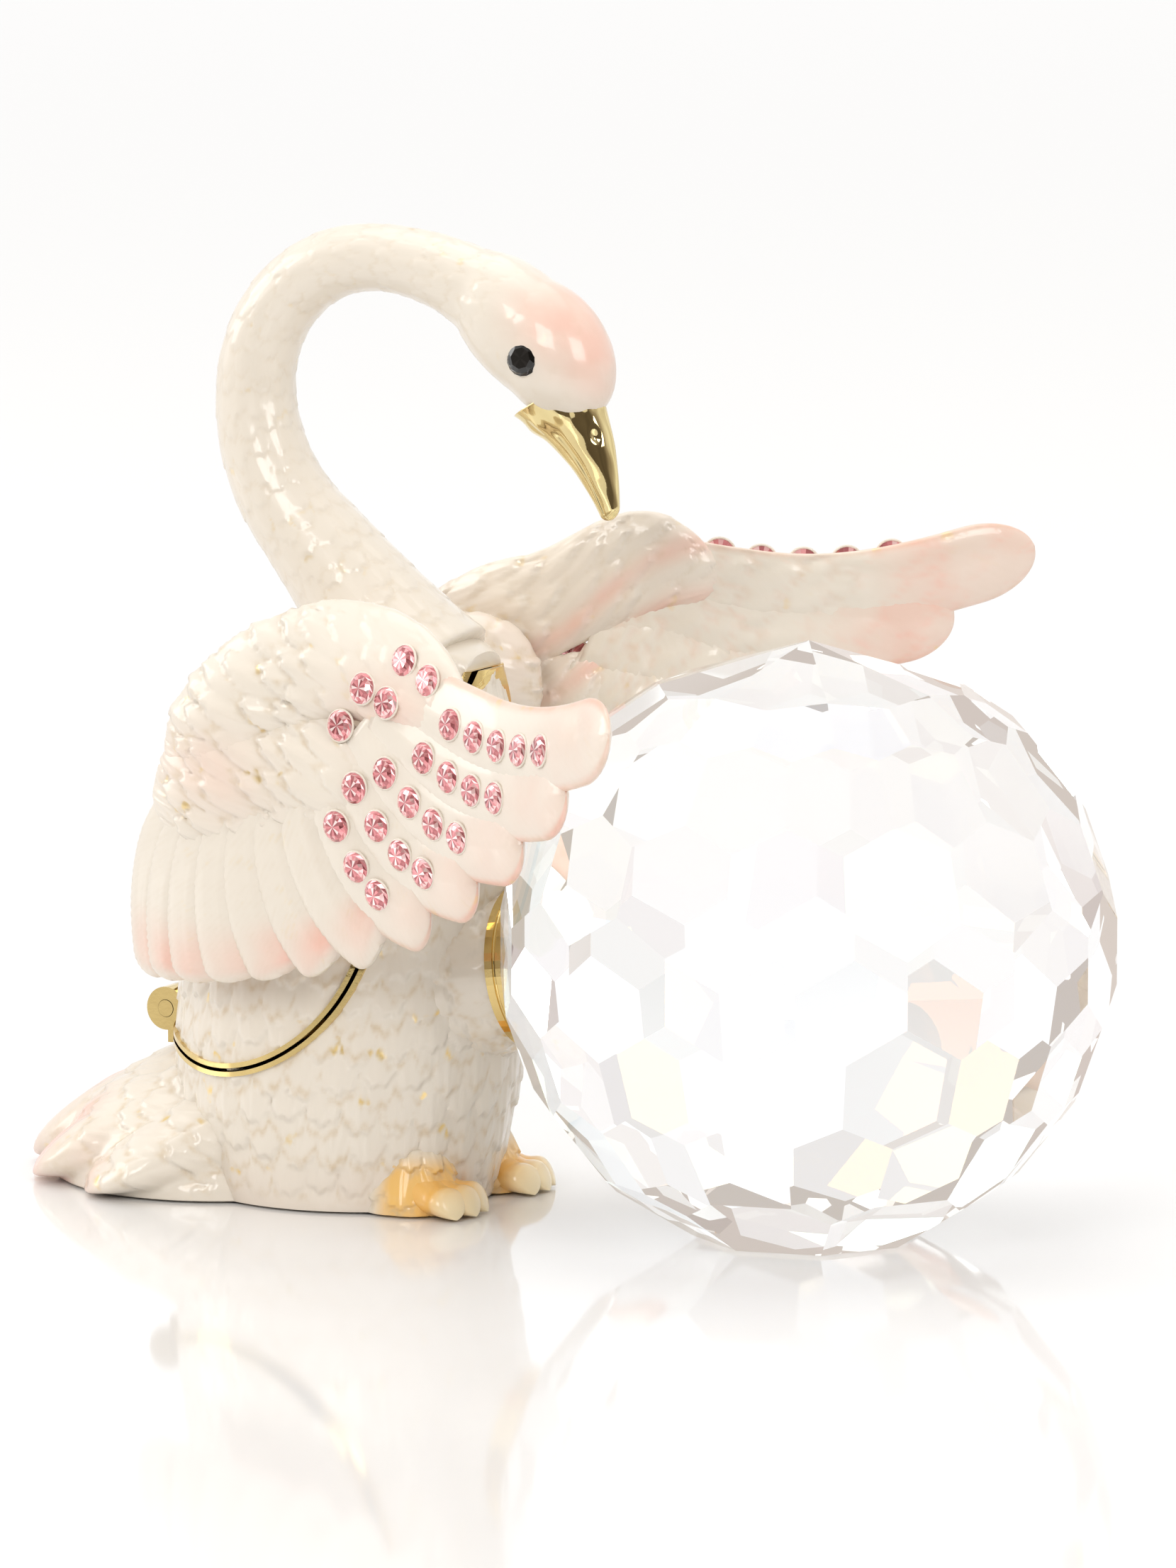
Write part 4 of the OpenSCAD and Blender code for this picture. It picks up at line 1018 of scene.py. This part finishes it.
def pad_shell(a, b, bow, high, deep, left):
    """A padded row of coverts along the wing's arm: rings round a bowed line from a to b, with
    small overlapping feathers that point back and down."""
    u, j = ring_grid(np.linspace(0, 1, 150), 112)
    t = (1 - np.cos(np.pi * u)) / 2
    a, b = np.array(a), np.array(b)
    p = a + (b - a) * t[..., None] + np.stack([0 * t, bow * np.sin(np.pi * t)], -1)
    q = (b - a) + np.stack([0 * t, bow * np.pi * np.cos(np.pi * t)], -1)
    q_len = np.hypot(q[..., 0], q[..., 1])
    full = np.sqrt(np.clip(1 - (2 * t - 1) ** 4, 0.004, 1))
    across = high * full * np.cos(j)
    s, z = p[..., 0] - across * q[..., 1] / q_len, p[..., 1] + across * q[..., 0] / q_len
    if left:
        relief, hollow = scales((z - 0.3 * s) / 2.3, (s + 0.4 * (50 - z) + 30) / 2.6)
    else:
        relief, hollow = scales((z + 0.35 * s) / 2.5, (22 - s + 0.45 * (40 - z)) / 2.8)
    ease = step((1 - np.abs(2 * t - 1)) / 0.08)
    # the front of the pad, where the stones sit, is smooth
    smooth = 1 if left else 1 - 0.75 * step((s - 2) / 5)
    w = 0.2 + deep * full * np.sin(j) + np.sign(np.sin(j)) * (0.55 if left
        else 0.80) * (relief - 0.8) * ease * smooth * np.clip(2 * np.abs(np.sin(j)), 0, 1)
    grow = 1 + (0.04 if left else 0.15) * (relief - 0.4) * ease * smooth
    s, z = p[..., 0] - across * grow * q[..., 1] / q_len, p[..., 1] + across * grow * q[..., 0] / q_len
    rosy = 0.45 * np.exp(-(((s + 6) / 5) ** 2
        + ((z - 37) / 3.2) ** 2)) + 0.5 * np.exp(-(((s - 12) / 5) ** 2 + ((z - 43) / 3) ** 2))
    if left:
        streaks = np.exp(-(((z - 42 - 0.25 * s) / 1.0) ** 2)) + np.exp(-(((z - 37.5 - 0.25
            * s) / 1.1) ** 2))
        rosy = np.where(np.sin(j) < 0, 0.75 * streaks + 0.06, rosy)
    # painted shade under the coverts' tips
    return tube(sheet(s, z, w, left)), with_ends(hollow * ease * smooth * (0.4 if left
        else 0.8)), with_ends(rosy)


def shoulder_shell():
    """The root of the wing: an egg against the lid's side, with small feathers."""
    a, j = ring_grid(np.linspace(0.05, np.pi - 0.05, 90), 120)
    x, y, z = np.cos(a), np.sin(a) * np.cos(j), np.sin(a) * np.sin(j)
    px, pz = -2.6 + 9.2 * x, 38.4 + 8.0 * z + 2.2 * x
    relief, hollow = scales((pz + 0.3 * px) / 2.5, (22 - px) / 2.8)
    grow = 1 + (0.5 * relief - 0.4) / 8
    return tube(np.stack([-2.6 + 9.2 * x * grow, -12.0 - 1.4 * x - 4.8 * y * grow,
        38.4 + 8.0 * z * grow + 2.2 * x], -1)), with_ends(hollow), with_ends(0.2 + 0 * px)


first_stone = [0, 0.24, 0.25, 0.19, 0.16, 0.24]
covert_stones = [(13, 47.3, 1.8), (15.6, 46, 1.55), (9, 44.8, 2.05), (11.6, 43.9, 1.95), (6.5, 41.6, 1.45)]


def stone_places(i, left):
    """Place matrices of the stones on feather i, or on the coverts for 0, as the casting's
    seats are: in steps of the pitch along the feather, on top of its face."""
    if i == 0:
        spots = np.array(covert_stones)
    else:
        count = (0, 5, 4, 4, 4, 3)[i]
        _, k, long = feather_line(i, 0.0, left)
        t = first_stone[i] + np.arange(count) * stone_pitch / long
        edge = left and i == 1
        spots = feather_line(i, t, left)[0] + [0, 2.5 if edge else 0]
        spots = np.concatenate([spots, (-0.5 + 1.05 * k + 0.35 * t + (0.65 if edge
            else 1) * feather_t + 0.1)[:, None]], 1)
    places = [
        turned(-np.arctan(sheet_slope(s)), np.radians(90 - 1.2 * (z - 36)),
            sheet(np.array(s), np.array(z), w, left)) for s, z, w in spots
    ]
    if left:
        places = [np.diag([1, -1, 1, 1]) @ p @ np.diag([-1, 1, 1, 1]) for p in places]
    return places


for left, side in ((False, "right"), (True, "left")):
    shells = [feather_shell(i, left) for i in range(feathers, 0, -1)]
    shells += [pad_shell((-11, 37), (18.5, 42.5), 6.6, 4.6, 1.9, left),
        pad_shell((-12.5, 33), (10, 37), 2.4, 4.6, 1.5, left), shoulder_shell()]
    wing_mesh = mesh_of(side + "_wing_casting", [s[0] for s in shells],
                        {"hollow": np.concatenate([s[1] for s in shells]),
                            "blush": np.concatenate([s[2] for s in shells])}, left)
    show(side + "_wing_casting", wing_mesh, "lid", [pearl], side + "_wing")
    seats = []
    for i, label in enumerate(("covert", "feather_1", "feather_2", "feather_3", "feather_4", "feather_5")):
        part = f"{side}_{label}_stones"
        places = stone_places(i, left)
        show("cut_" + part, stone_mesh("cut_" + part, places, stone_d), "lid", [rose], part)
        seats += cup_rings(places, stone_d)
    show(side + "_stone_cups", mesh_of(side + "_stone_cups", seats), "lid", [pearl])
